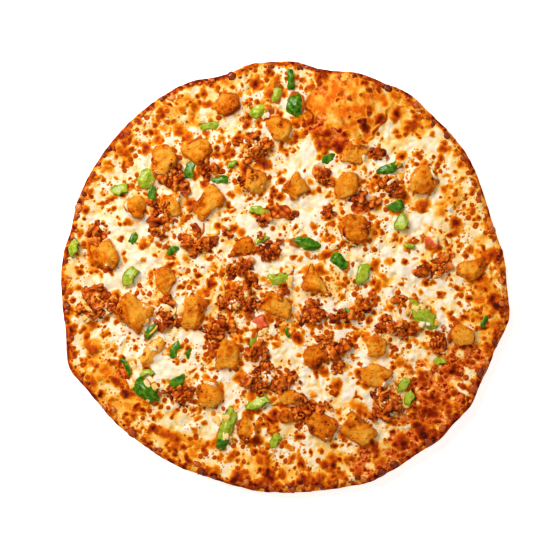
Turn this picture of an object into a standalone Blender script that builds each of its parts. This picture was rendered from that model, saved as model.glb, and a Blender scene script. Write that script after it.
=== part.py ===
"""A whole round pizza with cheese baked to its edge, chicken, sausage, peppers and tomato.

Metres, +Z up. The pizza lies on its flat base at z = 0, with the middle of its outline at the origin.
Places in the tables below are in millimetres from the middle of the dough, +X right and +Y away.
"""

import math
import random
from collections import namedtuple

import bmesh
import bpy
from mathutils import Euler, Vector, geometry, noise

MM = 0.001

# Driving sizes of the whole
MEAN_RADIUS = 178 * MM
OVAL = 3.2 * MM
DOUGH_TOP = 12.5 * MM
CHEESE_THICKNESS = 3.4 * MM
GAP = 0.35 * MM

# How finely the two large pieces are faceted
RINGS = 12
SPOKES = 6 * RINGS

# Bumps and dents of the hand-stretched outline: direction and half width in degrees, reach in mm
Bump = namedtuple("Bump", "direction half_width reach")
OUTLINE_BUMPS = [
    Bump(17, 13, -6),
    Bump(56, 5, 3),
    Bump(78, 6, -4),
    Bump(107, 6, -4.5),
    Bump(152, 14, -1.8),
    Bump(168, 7, -3.5),
    Bump(203, 7, 8.5),
    Bump(218, 8, 2.5),
    Bump(250, 9, -2),
    Bump(294, 10, 4.5),
    Bump(315, 8, 4.5),
    Bump(331, 6, 2),
    Bump(349, 6, 4),
]

# The dough's section, as inset from the outline and height above the table, in mm
Section = namedtuple("Section", "inset height")
DOUGH_SIDE = [
    Section(5, 0),
    Section(1.3, 1.6),
    Section(0, 7),
    Section(1, 12.5),
    Section(4, 15.2),
]
DOUGH_SHOULDER = [
    Section(9, 14.6),
    Section(15, 12.5),
]

# Large bubbles that lift the dough and the cheese: place, half lengths and rise, in mm
Bubble = namedtuple("Bubble", "x y half_x half_y rise")
BUBBLES = [
    Bubble(53, 137, 31, 28, 9.5),
    Bubble(163, -21, 17, 18, 5),
    Bubble(136, 65, 11, 14, 4),
    Bubble(-84, 133, 14, 12, 4),
    Bubble(-25, -156, 15, 14, 3.5),
    Bubble(141, -98, 16, 15, 3.5),
    Bubble(-148, -81, 15, 17, 4),
]
DOUGH_BUBBLE_SHARE = 0.72

# Toppings. Lengths in mm, turn in degrees from +X
Chunk = namedtuple("Chunk", "x y length width height turn sides")
CHICKEN = [
    Chunk(-48, 140, 25, 21, 9, 10, 5),
    Chunk(-96, 94, 28, 24, 11, 100, 5),
    Chunk(-70, 103, 24, 22, 9, 42, 4),
    Chunk(-121, 57, 20, 20, 10, 0, 6),
    Chunk(-90, 58, 21, 15, 9, 80, 4),
    Chunk(-62, 60, 32, 19, 9, 50, 4),
    Chunk(-5, 121, 23, 20, 10, -8, 6),
    Chunk(-24, 77, 20, 18, 10, 70, 4),
    Chunk(10, 72, 20, 18, 9, 48, 4),
    Chunk(51, 74, 24, 20, 10, 65, 5),
    Chunk(57, 100, 21, 17, 8, -8, 4),
    Chunk(56, 38, 29, 23, 12, 95, 6),
    Chunk(111, 77, 27, 25, 12, 20, 5),
    Chunk(-33, 24, 25, 17, 9, 25, 5),
    Chunk(26, -2, 28, 27, 10, -92, 3),
    Chunk(-5, -23, 33, 18, 10, -30, 4),
    Chunk(-73, -28, 29, 19, 9, 76, 4),
    Chunk(-145, 16, 27, 21, 11, 112, 5),
    Chunk(-96, -3, 24, 18, 10, 100, 5),
    Chunk(-122, -29, 29, 24, 11, -35, 4),
    Chunk(-45, -64, 25, 20, 10, 80, 4),
    Chunk(-61, -95, 25, 22, 10, 100, 5),
    Chunk(-30, -122, 25, 17, 10, 88, 6),
    Chunk(5, -98, 22, 13, 9, -10, 5),
    Chunk(2, -113, 15, 13, 8, 0, 5),
    Chunk(28, -119, 29, 22, 11, -28, 5),
    Chunk(61, -125, 32, 20, 10, -35, 4),
    Chunk(74, -80, 28, 17, 9, -12, 4),
    Chunk(75, -56, 23, 19, 10, 60, 5),
    Chunk(150, 6, 28, 20, 10, 25, 5),
    Chunk(144, -47, 24, 21, 9, 0, 5),
    Chunk(25, -65, 24, 20, 9, 30, 5),
]
TOMATO = [
    Chunk(-20, -38, 13, 12, 7, 25, 4),
    Chunk(120, 28, 12, 11, 6, 5, 4),
]
# How uneven the torn pieces are: how far a corner swings, as a share of a side, the shortest corner,
# and the rounding as a share of the width or height
CORNER_SWING = 0.2
LEAST_CORNER = 0.8
ROUNDING = 0.14
Strip = namedtuple("Strip", "x y length width thickness arch turn")
PEPPER = [
    Strip(-6, 149, 19, 8, 2.6, 2, 80),
    Strip(5, 160, 17, 6, 2.6, 3, 95),
    Strip(10, 140, 19, 14, 3, 4, 78),
    Strip(-21, 134, 15, 10, 2.6, 3, 15),
    Strip(-111, 79, 16, 13, 3, 2, 70),
    Strip(85, 88, 24, 8, 2.8, 4, 20),
    Strip(17, 27, 25, 9, 2.8, 3, -13),
    Strip(46, 12, 18, 9, 2.8, 3, -38),
    Strip(-5, -1, 19, 10, 2.8, 2, 10),
    Strip(-107, -44, 19, 6, 2.6, 3, 48),
    Strip(-111, -92, 24, 14, 3.2, 5, -35),
    Strip(-47, -123, 36, 11, 3.4, 3, 76),
    Strip(111, -31, 33, 13, 3.2, 4, -42),
]
YELLOW_PEPPER = Strip(-107, -60, 26, 11, 3.4, 2, 50)
Heap = namedtuple("Heap", "x y length width turn crumbs")
SAUSAGE = [
    Heap(-152, -25, 30, 25, 20, 8),
    Heap(-39, -18, 31, 18, 10, 7),
    Heap(-16, -82, 38, 13, -4, 7),
    Heap(86, -102, 23, 19, 0, 6),
    Heap(-102, 36, 20, 13, -40, 5),
    Heap(-96, -30, 18, 14, 90, 5),
    Heap(-72, 28, 26, 14, -6, 6),
    Heap(-23, 102, 26, 13, 4, 6),
    Heap(122, 8, 26, 10, -24, 5),
    Heap(90, -41, 22, 13, 5, 5),
]

# Small pieces baked fast to the cheese: place and size in mm
Bit = namedtuple("Bit", "x y size")
PEPPER_DICE = [
    Bit(-133, 71, 10),
    Bit(91, 58, 11),
    Bit(95, 44, 11),
    Bit(64, 3, 11),
    Bit(-125, 0, 11),
    Bit(-20, -101, 11),
    Bit(100, -84, 10),
    Bit(103, -99, 10),
    Bit(-88, -86, 9),
    Bit(-171, 24, 9),
]
SMALL_CRUMBS = [
    Bit(-33, 4, 11),
    Bit(-86, 77, 9),
    Bit(62, -20, 11),
    Bit(-24, -62, 12),
    Bit(27, -32, 11),
    Bit(42, -60, 11),
    Bit(121, -57, 12),
    Bit(88, 72, 11),
    Bit(80, 101, 10),
    Bit(-150, 40, 12),
    Bit(-52, -41, 11),
    Bit(-148, -4, 10),
    Bit(28, 84, 9),
    Bit(118, -75, 10),
    Bit(-35, 118, 9),
    Bit(37, 117, 8),
]
# Beads of fried cheese that stand along the rim
RIM_BEADS = 20
RIM_BEAD_SIZE = 6 * MM

Finish = namedtuple("Finish", "colour roughness")
FINISHES = {
    "dough": Finish((0.62, 0.33, 0.12, 1), 0.75),
    "cheese": Finish((0.88, 0.62, 0.3, 1), 0.4),
    "chicken": Finish((0.78, 0.28, 0.04, 1), 0.55),
    "sausage": Finish((0.42, 0.09, 0.02, 1), 0.6),
    "pepper": Finish((0.16, 0.36, 0.03, 1), 0.25),
    "yellow_pepper": Finish((0.9, 0.45, 0.05, 1), 0.3),
    "tomato": Finish((0.85, 0.17, 0.07, 1), 0.3),
}

# The dough's flat middle and what the toppings keep under them
SEAT_ABOVE_DOUGH = 1.4 * MM
POCKET_GAP = 1.2 * MM
LEAST_POCKET_SIDE = 2.2 * MM
POCKET_TOP = 60 * MM


def clear_scene():
    for obj in list(bpy.data.objects):
        bpy.data.objects.remove(obj)


def new_collection(name):
    collection = bpy.data.collections.new(name)
    bpy.context.scene.collection.children.link(collection)
    return collection


def finish_material(name):
    """A plain material with the colour and roughness of one ingredient."""
    if name in bpy.data.materials:
        return bpy.data.materials[name]
    material = bpy.data.materials.new(name)
    material.use_nodes = True
    surface = material.node_tree.nodes["Principled BSDF"]
    surface.inputs["Base Color"].default_value = FINISHES[name].colour
    surface.inputs["Roughness"].default_value = FINISHES[name].roughness
    surface.inputs["Metallic"].default_value = 0
    return material


def add_object(name, mesh_source, collection, finish=None):
    """An object of its own from a bmesh, which is freed."""
    bmesh.ops.recalc_face_normals(mesh_source, faces=mesh_source.faces[:])
    mesh = bpy.data.meshes.new(name)
    mesh_source.to_mesh(mesh)
    mesh_source.free()
    obj = bpy.data.objects.new(name, mesh)
    collection.objects.link(obj)
    if finish:
        mesh.materials.append(finish_material(finish))
        mesh.shade_smooth()
        mesh.set_sharp_from_angle(angle=math.radians(35))
    return obj


def add_cutter(name, mesh_source, collection):
    """A helper that another solid is cut with, and that is no part of the pizza."""
    cutter = add_object(name, mesh_source, collection)
    cutter.hide_render = True
    cutter.display_type = "WIRE"
    return cutter


def combine(target, operation, collection):
    """Applies one Boolean of a whole collection, then removes what it held."""
    boolean = target.modifiers.new(operation.title(), "BOOLEAN")
    boolean.operation = operation
    boolean.operand_type = "COLLECTION"
    boolean.collection = collection
    graph = bpy.context.evaluated_depsgraph_get()
    joined = bpy.data.meshes.new_from_object(target.evaluated_get(graph))
    target.modifiers.remove(boolean)
    target.data = joined
    for obj in list(collection.objects):
        bpy.data.objects.remove(obj)
    bpy.data.collections.remove(collection)


def outline_radius(angle):
    """How far the dough reaches in a direction, in metres. The angle is in radians."""
    radius = MEAN_RADIUS + OVAL * math.cos(2 * angle)
    degrees = math.degrees(angle)
    for bump in OUTLINE_BUMPS:
        away = (degrees - bump.direction + 180) % 360 - 180
        radius += bump.reach * MM * math.exp(-((away / bump.half_width) ** 2))
    return radius


def outline_middle():
    """The middle of the outline's bounding rectangle, which becomes the origin."""
    angles = [math.tau * step / SPOKES for step in range(SPOKES)]
    xs = [outline_radius(a) * math.cos(a) for a in angles]
    ys = [outline_radius(a) * math.sin(a) for a in angles]
    return Vector(((min(xs) + max(xs)) / 2, (min(ys) + max(ys)) / 2, 0))


def at_inset(angle, section, lift=0.0):
    """The point of the outline's section in one direction."""
    radius = outline_radius(angle) - section.inset * MM
    return Vector((radius * math.cos(angle), radius * math.sin(angle), section.height * MM + lift))


def dough_height(x, y):
    """Height of the dough's upper side, without its bubbles."""
    inset = outline_radius(math.atan2(y, x)) - math.hypot(x, y)
    shape = [DOUGH_SIDE[-1], *DOUGH_SHOULDER]
    for outer, inner in zip(shape, shape[1:]):
        if inset < inner.inset * MM:
            share = (inset - outer.inset * MM) / ((inner.inset - outer.inset) * MM)
            return (outer.height + max(0, share) * (inner.height - outer.height)) * MM
    return DOUGH_TOP


def bubble_rise(x, y):
    """How far the bubbles lift the cheese at a place."""
    rise = 0.0
    for bubble in BUBBLES:
        across = (x / MM - bubble.x) / bubble.half_x
        along = (y / MM - bubble.y) / bubble.half_y
        share = 1 - across * across - along * along
        if share > 0:
            rise = max(rise, bubble.rise * MM * share**0.75)
    return rise


def cheese_height(x, y):
    """Height of the melted cheese's upper side."""
    wide = noise.noise(Vector((x, y, 0)) / 0.026)
    fine = noise.noise(Vector((x, y, 0.3)) / 0.012)
    waves = 0.9 * MM * wide + 0.5 * MM * fine
    return dough_height(x, y) + CHEESE_THICKNESS + bubble_rise(x, y) + waves


def ring_points(corners, radius_share, height_of=None):
    """Points round the outline at a share of its radius, with heights from a function of place."""
    points = []
    for step in range(corners):
        angle = math.tau * step / corners
        radius = outline_radius(angle) * radius_share
        x, y = radius * math.cos(angle), radius * math.sin(angle)
        points.append(Vector((x, y, height_of(x, y))))
    return points


def bridge(mesh, lower, upper):
    """Quads between two rings with equally many corners."""
    count = len(lower)
    for step in range(count):
        after = (step + 1) % count
        mesh.faces.new((lower[step], lower[after], upper[after], upper[step]))


def fill_between(mesh, inner, outer):
    """Triangles between two neighbouring rings of a round net, of 6n and 6(n + 1) corners."""
    sides = 6
    inner_side, outer_side = len(inner) // sides, len(outer) // sides
    for side in range(sides):
        for step in range(outer_side):
            near = inner[(side * inner_side + step) % len(inner)]
            first = outer[side * outer_side + step]
            second = outer[(side * outer_side + step + 1) % len(outer)]
            mesh.faces.new((near, first, second))
            if step < inner_side:
                following = inner[(side * inner_side + step + 1) % len(inner)]
                mesh.faces.new((near, second, following))


def ellipsoid(mesh, centre, half_lengths, segments):
    """A scaled sphere added to a mesh, and its vertices."""
    made = bmesh.ops.create_uvsphere(mesh, u_segments=segments, v_segments=segments // 2, radius=1)
    for vertex in made["verts"]:
        vertex.co = centre + Vector(a * b for a, b in zip(vertex.co, half_lengths))
    return made["verts"]


def dough_bubble(bubble, name, collection, grow):
    """One bubble of the dough, sunk to its waist under the dough's upper side."""
    mesh = bmesh.new()
    share = DOUGH_BUBBLE_SHARE
    half = Vector((bubble.half_x, bubble.half_y, bubble.rise)) * share * MM
    half += Vector((grow, grow, grow))
    ellipsoid(mesh, Vector((bubble.x * MM, bubble.y * MM, DOUGH_TOP)), half, 12)
    return add_cutter(name, mesh, collection)


def make_crust(parts):
    """The dough: a flat base, a bulging side and a low rim, with the bubbles joined on."""
    mesh = bmesh.new()
    rings = []
    for section in [*DOUGH_SIDE, *DOUGH_SHOULDER]:
        points = []
        for step in range(SPOKES):
            angle = math.tau * step / SPOKES
            lift = 0
            if 0 < section.height and section.inset < 4:
                lift = 0.8 * MM * noise.noise(Vector((math.cos(angle), math.sin(angle), section.height)) * 4)
            points.append(mesh.verts.new(at_inset(angle, section, lift)))
        rings.append(points)
    for lower, upper in zip(rings, rings[1:]):
        bridge(mesh, lower, upper)
    mesh.faces.new(reversed(rings[0]))
    mesh.faces.new(rings[-1])
    crust = add_object("crust", mesh, parts, "dough")
    bubbles = new_collection("dough_bubbles")
    for number, bubble in enumerate(BUBBLES):
        dough_bubble(bubble, f"dough_bubble_{number}", bubbles, 0)
    combine(crust, "UNION", bubbles)
    return crust


def make_cheese_slab(parts):
    """The melted cheese before its pockets are cut: a net of even triangles on a ring that follows the dough."""
    mesh = bmesh.new()
    edge = Section(2.6, 15.6)
    reach = 1 - edge.inset * MM / MEAN_RADIUS
    middle = mesh.verts.new((0, 0, cheese_height(0, 0)))
    rings = []
    for ring in range(1, RINGS + 1):
        share = reach * ring / RINGS
        rings.append([mesh.verts.new(p) for p in ring_points(6 * ring, share, cheese_height)])
    for step in range(6):
        mesh.faces.new((middle, rings[0][step], rings[0][(step + 1) % 6]))
    for inner, outer in zip(rings, rings[1:]):
        fill_between(mesh, inner, outer)
    underside = [Section(4, 15.2), *DOUGH_SHOULDER]
    upper = rings[-1]
    for section in underside:
        lower = []
        for step in range(SPOKES):
            lower.append(mesh.verts.new(at_inset(math.tau * step / SPOKES, section, GAP)))
        bridge(mesh, lower, upper)
        upper = lower
    mesh.faces.new(upper)
    return add_object("cheese", mesh, parts, "cheese")


def lump(mesh, centre, half_lengths, chance, roughness=0.18):
    """A rough crumb of twenty sides."""
    made = bmesh.ops.create_icosphere(mesh, subdivisions=1, radius=1)
    for vertex in made["verts"]:
        scatter = 1 + chance.uniform(-roughness, roughness)
        vertex.co = centre + Vector(a * b * scatter for a, b in zip(vertex.co, half_lengths))


def add_lump(name, place, size, flatness, chance, collection):
    mesh = bmesh.new()
    lump(mesh, place, Vector((size / 2, size / 2, size / 2 * flatness)), chance)
    return add_cutter(name, mesh, collection)


def fuse_small_pieces(cheese):
    """Joins to the cheese the small dice, crumbs and rim beads that are baked fast to it."""
    chance = random.Random(5)
    pieces = new_collection("small_pieces")
    for number, bit in enumerate([*PEPPER_DICE, *SMALL_CRUMBS]):
        x, y = bit.x * MM, bit.y * MM
        place = Vector((x, y, cheese_height(x, y) + 0.1 * bit.size * MM))
        add_lump(f"small_piece_{number}", place, bit.size * MM, 0.62, chance, pieces)
    for number in range(RIM_BEADS):
        angle = math.tau * (number + chance.uniform(-0.3, 0.3)) / RIM_BEADS
        radius = outline_radius(angle) - chance.uniform(4.6, 6.5) * MM
        x, y = radius * math.cos(angle), radius * math.sin(angle)
        place = Vector((x, y, cheese_height(x, y) - 0.2 * MM))
        size = RIM_BEAD_SIZE * chance.uniform(0.8, 1.25)
        add_lump(f"rim_bead_{number}", place, size, 0.6, chance, pieces)
    combine(cheese, "UNION", pieces)


def stretch_to(vertices, axis, size):
    """Scales and centres vertices along one axis so that they span a size."""
    low = min(vertex.co[axis] for vertex in vertices)
    high = max(vertex.co[axis] for vertex in vertices)
    for vertex in vertices:
        vertex.co[axis] = (vertex.co[axis] - (low + high) / 2) * size / (high - low)


def uneven_prism(mesh, sides, length, width, height, chance):
    """A prism with uneven corners, scaled to its full length and width, and its vertices."""
    made = bmesh.ops.create_cone(mesh, cap_ends=True, segments=sides, radius1=1, radius2=0.84, depth=height)
    vertices = made["verts"]
    quarter_turn = math.pi / sides if sides % 2 == 0 else math.pi / 2
    bmesh.ops.rotate(mesh, verts=vertices, matrix=Euler((0, 0, quarter_turn)).to_matrix())
    swings = [chance.uniform(-CORNER_SWING, CORNER_SWING) * math.tau / sides for _ in range(sides)]
    reaches = [chance.uniform(LEAST_CORNER, 1) for _ in range(sides)]
    for vertex in vertices:
        angle = math.atan2(vertex.co.y, vertex.co.x)
        corner = round((angle - quarter_turn) / math.tau * sides) % sides
        radius = math.hypot(vertex.co.x, vertex.co.y) * reaches[corner]
        vertex.co.x = radius * math.cos(angle + swings[corner])
        vertex.co.y = radius * math.sin(angle + swings[corner])
    stretch_to(vertices, 0, length)
    stretch_to(vertices, 1, width)
    return vertices


def make_chunk(name, chunk, finish, chance, parts):
    """A diced piece: an uneven prism with rounded edges, leaning a little."""
    length, width, height = chunk.length * MM, chunk.width * MM, chunk.height * MM
    mesh = bmesh.new()
    for vertex in uneven_prism(mesh, chunk.sides, length, width, height, chance):
        vertex.co.x *= chance.uniform(0.95, 1.05)
        vertex.co.y *= chance.uniform(0.95, 1.05)
        vertex.co.z *= chance.uniform(0.66, 1.0)
    obj = add_object(name, mesh, parts, finish)
    rounding = obj.modifiers.new("Rounding", "BEVEL")
    rounding.width = ROUNDING * min(width, height)
    rounding.segments = 1
    lean = [math.radians(chance.uniform(-6, 6)) for _ in range(2)]
    obj.rotation_euler = (*lean, math.radians(chunk.turn))
    return obj


def make_strip(name, strip, finish, parts):
    """A cut of pepper wall: a flat bar, crowned across and arched along its length."""
    length, width, thickness = strip.length * MM, strip.width * MM, strip.thickness * MM
    mesh = bmesh.new()
    bmesh.ops.create_cube(mesh, size=1)
    along = [e for e in mesh.edges if abs(e.verts[0].co.x - e.verts[1].co.x) > 0.5]
    bmesh.ops.subdivide_edges(mesh, edges=along, cuts=4, use_grid_fill=True)
    across = [e for e in mesh.edges if abs(e.verts[0].co.y - e.verts[1].co.y) > 0.5]
    bmesh.ops.subdivide_edges(mesh, edges=across, cuts=1, use_grid_fill=True)
    for vertex in mesh.verts:
        share_x, share_y = 2 * vertex.co.x, 2 * vertex.co.y
        narrowing = 1 - 0.22 * share_x**4
        crown = 0.22 * width * (1 - share_y * share_y)
        arch = strip.arch * MM * (1 - share_x * share_x)
        vertex.co.x *= length * (1 - 0.06 * share_y * share_y)
        vertex.co.y *= width * narrowing
        vertex.co.z = vertex.co.z * thickness + crown + arch
    obj = add_object(name, mesh, parts, finish)
    obj.rotation_euler = (0, 0, math.radians(strip.turn))
    return obj


def make_heap(name, heap, chance, parts):
    """A heap of crumbled sausage: a low core with rough crumbs fused round and on it."""
    half_length, half_width = heap.length * MM / 2, heap.width * MM / 2
    mesh = bmesh.new()
    core = Vector((0.86 * half_length, 0.86 * half_width, 3.4 * MM))
    ellipsoid(mesh, Vector((0, 0, 1.6 * MM)), core, 6)
    obj = add_object(name, mesh, parts, "sausage")
    crumbs = new_collection(name + "_crumbs")
    for number in range(heap.crumbs):
        angle = math.tau * number / heap.crumbs + chance.uniform(-0.2, 0.2)
        size = min(heap.width * 0.52, chance.uniform(6, 8.5)) * MM
        reach = 0.92 if number % 3 else 0.35
        x = (half_length - size / 2) * reach * math.cos(angle)
        y = (half_width - size / 2) * reach * math.sin(angle)
        z = (1.8 if number % 3 else 4.2) * MM
        add_lump(f"{name}_crumb_{number}", Vector((x, y, z)), size, 0.8, chance, crumbs)
    combine(obj, "UNION", crumbs)
    obj.rotation_euler = (0, 0, math.radians(heap.turn))
    return obj


def seat(obj, x, y):
    """Puts a topping at its place, sunk in the cheese but clear of the dough. Returns its lowest point."""
    obj.location = (x * MM, y * MM, 0)
    bpy.context.view_layer.update()
    corners = [obj.matrix_world @ vertex.co for vertex in obj.data.vertices]
    dough = max(dough_height(c.x, c.y) for c in corners)
    floor = dough + SEAT_ABOVE_DOUGH
    obj.location.z = floor - min(c.z for c in corners)
    return floor


def widened(outline, by):
    """A convex outline with every side moved out by a distance."""
    count = len(outline)
    moved = []
    for here in range(count):
        before, corner, after = outline[here - 1], outline[here], outline[(here + 1) % count]
        first = (corner - before).normalized()
        second = (after - corner).normalized()
        first_out = Vector((first.y, -first.x))
        second_out = Vector((second.y, -second.x))
        bisector = (first_out + second_out).normalized()
        reach = by / max(0.35, bisector.dot(first_out))
        moved.append(corner + bisector * reach)
    return moved


def pocket_outline(obj):
    """The convex outline of a topping seen from above, without its shortest sides."""
    flat = [(obj.matrix_world @ vertex.co).to_2d() for vertex in obj.data.vertices]
    hull = [flat[index] for index in geometry.convex_hull_2d(flat)]
    kept = [hull[0]]
    for corner in hull[1:]:
        if min((corner - kept[0]).length, (corner - kept[-1]).length) > LEAST_POCKET_SIDE:
            kept.append(corner)
    doubled_area = sum(a.cross(b) for a, b in zip(kept, kept[1:] + kept[:1]))
    return kept if doubled_area > 0 else kept[::-1]


def add_pocket(obj, floor, cutters):
    """The upright hole in the cheese that a topping is sunk in."""
    bpy.context.view_layer.update()
    outline = widened(pocket_outline(obj), POCKET_GAP)
    mesh = bmesh.new()
    bottom = [mesh.verts.new((p.x, p.y, floor - GAP)) for p in outline]
    top = [mesh.verts.new((p.x, p.y, POCKET_TOP)) for p in outline]
    bridge(mesh, bottom, top)
    mesh.faces.new(reversed(bottom))
    mesh.faces.new(top)
    add_cutter(obj.name + "_pocket", mesh, cutters)


def make_toppings(parts):
    """Every piece that lies in the cheese, each with the height of its seat."""
    chance = random.Random(11)
    seated = []
    for number, chunk in enumerate(CHICKEN, 1):
        obj = make_chunk(f"chicken_{number:02d}", chunk, "chicken", chance, parts)
        seated.append((obj, seat(obj, chunk.x, chunk.y)))
    for number, chunk in enumerate(TOMATO, 1):
        obj = make_chunk(f"tomato_{number:02d}", chunk, "tomato", chance, parts)
        seated.append((obj, seat(obj, chunk.x, chunk.y)))
    for number, strip in enumerate(PEPPER, 1):
        obj = make_strip(f"pepper_{number:02d}", strip, "pepper", parts)
        seated.append((obj, seat(obj, strip.x, strip.y)))
    obj = make_strip("yellow_pepper", YELLOW_PEPPER, "yellow_pepper", parts)
    seated.append((obj, seat(obj, YELLOW_PEPPER.x, YELLOW_PEPPER.y)))
    for number, heap in enumerate(SAUSAGE, 1):
        obj = make_heap(f"sausage_{number:02d}", heap, chance, parts)
        seated.append((obj, seat(obj, heap.x, heap.y)))
    return seated


def make_pizza():
    clear_scene()
    parts = new_collection("pan_pizza")
    middle = bpy.data.objects.new("middle", None)
    parts.objects.link(middle)
    crust = make_crust(parts)
    cheese = make_cheese_slab(parts)
    fuse_small_pieces(cheese)
    seated = make_toppings(parts)
    hollows = new_collection("hollows")
    for number, bubble in enumerate(BUBBLES):
        dough_bubble(bubble, f"bubble_hollow_{number}", hollows, GAP)
    for obj, floor in seated:
        add_pocket(obj, floor, hollows)
    combine(cheese, "DIFFERENCE", hollows)
    for obj in [crust, cheese, *(topping for topping, _ in seated)]:
        obj.parent = middle
    middle.location = -outline_middle()


make_pizza()
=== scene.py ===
"""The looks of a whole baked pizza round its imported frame, seen from straight above.

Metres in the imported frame. The tables hold millimetres from the middle of the dough,
+X right and +Y away, as the solids' own tables do.
"""

import math
from collections import namedtuple

import bmesh
import bpy
import numpy as np
from mathutils import Matrix, Vector, geometry
from mathutils.bvhtree import BVHTree


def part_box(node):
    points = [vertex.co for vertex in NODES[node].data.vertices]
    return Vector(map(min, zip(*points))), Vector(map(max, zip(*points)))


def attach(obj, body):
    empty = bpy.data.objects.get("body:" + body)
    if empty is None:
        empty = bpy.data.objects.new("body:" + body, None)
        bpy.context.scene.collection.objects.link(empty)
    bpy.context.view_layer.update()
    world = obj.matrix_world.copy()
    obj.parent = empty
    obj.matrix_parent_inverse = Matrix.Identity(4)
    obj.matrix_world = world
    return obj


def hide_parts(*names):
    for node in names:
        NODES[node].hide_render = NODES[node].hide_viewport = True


MM = 0.001

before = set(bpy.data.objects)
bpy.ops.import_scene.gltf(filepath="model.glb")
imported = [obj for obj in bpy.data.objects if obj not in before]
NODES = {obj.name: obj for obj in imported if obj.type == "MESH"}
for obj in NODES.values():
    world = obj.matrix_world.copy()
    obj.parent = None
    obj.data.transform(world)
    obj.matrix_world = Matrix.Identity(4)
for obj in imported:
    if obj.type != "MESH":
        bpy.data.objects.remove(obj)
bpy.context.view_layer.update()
ROOT = "root"

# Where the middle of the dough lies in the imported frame
MIDDLE_X = -0.55 * MM
MIDDLE_Y = 0.04 * MM

# The view: the photograph's width in pixels and in metres at the height of the cheese
PHOTO_WIDTH_PX = 560
METRES_PER_PX = 0.8125 * MM
DOUGH_MIDDLE_PX = (284, 277)
CHEESE_LEVEL = 16 * MM
LENS_MM = 70
SENSOR_MM = 36

# Fineness of the maps and of the large meshes
CELL = 0.5 * MM
MAP_HALF = 186 * MM
CHEESE_RINGS = 172
CRUST_RINGS = 60
CHUNK_VOXEL = 0.85 * MM
PEPPER_VOXEL = 0.6 * MM

CHICKEN = sorted(n for n in NODES if n.startswith("chicken"))
SAUSAGE = sorted(n for n in NODES if n.startswith("sausage"))
PEPPER = sorted(n for n in NODES if n.startswith("pepper"))
TOMATO = sorted(n for n in NODES if n.startswith("tomato"))
YELLOW = ["yellow_pepper"]
TOPPINGS = CHICKEN + SAUSAGE + PEPPER + TOMATO + YELLOW


def rows(kind, *values):
    """A table of named rows."""
    return [kind(*row) for row in values]


# Regions of the cheese: place and half lengths in mm, and how strongly they apply
Patch = namedtuple("Patch", "x y half_x half_y amount")
GOLD_PATCHES = rows(
    Patch,
    (52, 139, 36, 32, 0.86), (-85, 132, 17, 15, 0.9), (134, 63, 13, 16, 0.9), (164, -24, 17, 24, 0.95),
    (-157, -56, 9, 8, 1.0), (-148, -78, 17, 15, 0.75), (-128, -108, 20, 15, 0.6),
    (-30, -158, 40, 16, 0.45), (100, 128, 26, 20, 0.55), (150, 95, 14, 22, 0.5), (168, 40, 12, 26, 0.5),
    (-45, 158, 32, 10, 0.35), (140, -105, 28, 30, 0.6), (70, -150, 40, 18, 0.5),
)
LARGE_BUBBLE = Patch(51, 138, 33, 30, 1.0)
# The first three patches lie along the lower left foot of the large bubble: a painted shadow there, with some
# sauce.
SAUCE_AND_SHADOW_PATCHES = rows(
    Patch,
    (25, 125, 9, 8, 0.9), (37, 113, 12, 7, 0.9), (50, 106, 12, 6, 0.8), (-133, -78, 9, 10, 0.6),
    (127, -97, 34, 38, 0.8), (110, -125, 26, 20, 0.8), (150, -62, 18, 20, 0.7),
    (72, -150, 24, 14, 0.55),
)
WHITE_PATCHES = rows(
    Patch,
    (97, 10, 22, 14, 1.0), (-133, 84, 12, 10, 0.7), (-117, 12, 16, 12, 0.9), (-32, 42, 14, 10, 0.9),
    (-36, 60, 12, 10, 0.8), (20, 44, 14, 10, 0.7), (-22, 10, 8, 10, 0.8), (-130, -42, 14, 10, 0.8),
    (-100, -72, 14, 14, 0.9), (-68, -58, 12, 14, 0.8), (-52, -78, 10, 10, 0.6), (45, -40, 12, 10, 0.7),
    (30, 100, 14, 12, 0.7), (-90, 112, 10, 8, 0.6), (-75, 8, 14, 8, 0.6), (78, 20, 10, 10, 0.6),
    (-55, -148, 14, 10, 0.5), (-2, -62, 12, 8, 0.6), (60, -98, 12, 10, 0.6), (128, 48, 10, 10, 0.5),
)
# Large blisters: place, size and how dark each is
Blister = namedtuple("Blister", "x y size dark")
BLISTERS = rows(
    Blister,
    (66, 154, 8, 0.95), (68, 134, 7, 0.95), (63, 123, 9, 1.1), (78, 127, 7, 0.95), (34, 162, 8, 0.9),
    (50, 116, 5, 0.9), (54, 143, 5, 1.0), (37, 118, 8, 0.85), (20, 128, 7, 0.85), (25, 117, 8, 0.9),
    (34, 109, 9, 0.9), (45, 105, 8, 0.95), (174, -25, 9, 1.1), (-157, -56, 13, 0.75),
    (-64, -155, 8, 1.0), (-38, -163, 9, 1.05), (-12, -160, 8, 1.0), (16, -163, 9, 1.0),
    (38, -156, 8, 0.95), (-90, -137, 7, 0.9), (-104, -124, 7, 0.9), (82, 164, 6, 1.1),
    (99, 150, 6, 1.1), (156, -88, 7, 1.1), (-24, -133, 8, 0.85), (-133, -66, 6, 0.9),
    (140, -118, 8, 1.0), (118, -110, 8, 0.95), (104, -92, 7, 0.95), (128, -84, 6, 0.95),
    (112, -122, 10, 1.0), (96, -134, 8, 1.0), (122, -98, 7, 0.9), (136, -76, 7, 1.0),
    (146, -104, 6, 1.0), (106, -106, 6, 1.0),
)
BLISTER_LOBES = 5
SPOT_TRIES = 5400
SHRED_COUNT = 900
# The direction in degrees in which the rim fried most
FRIED_SIDE = 285

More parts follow.
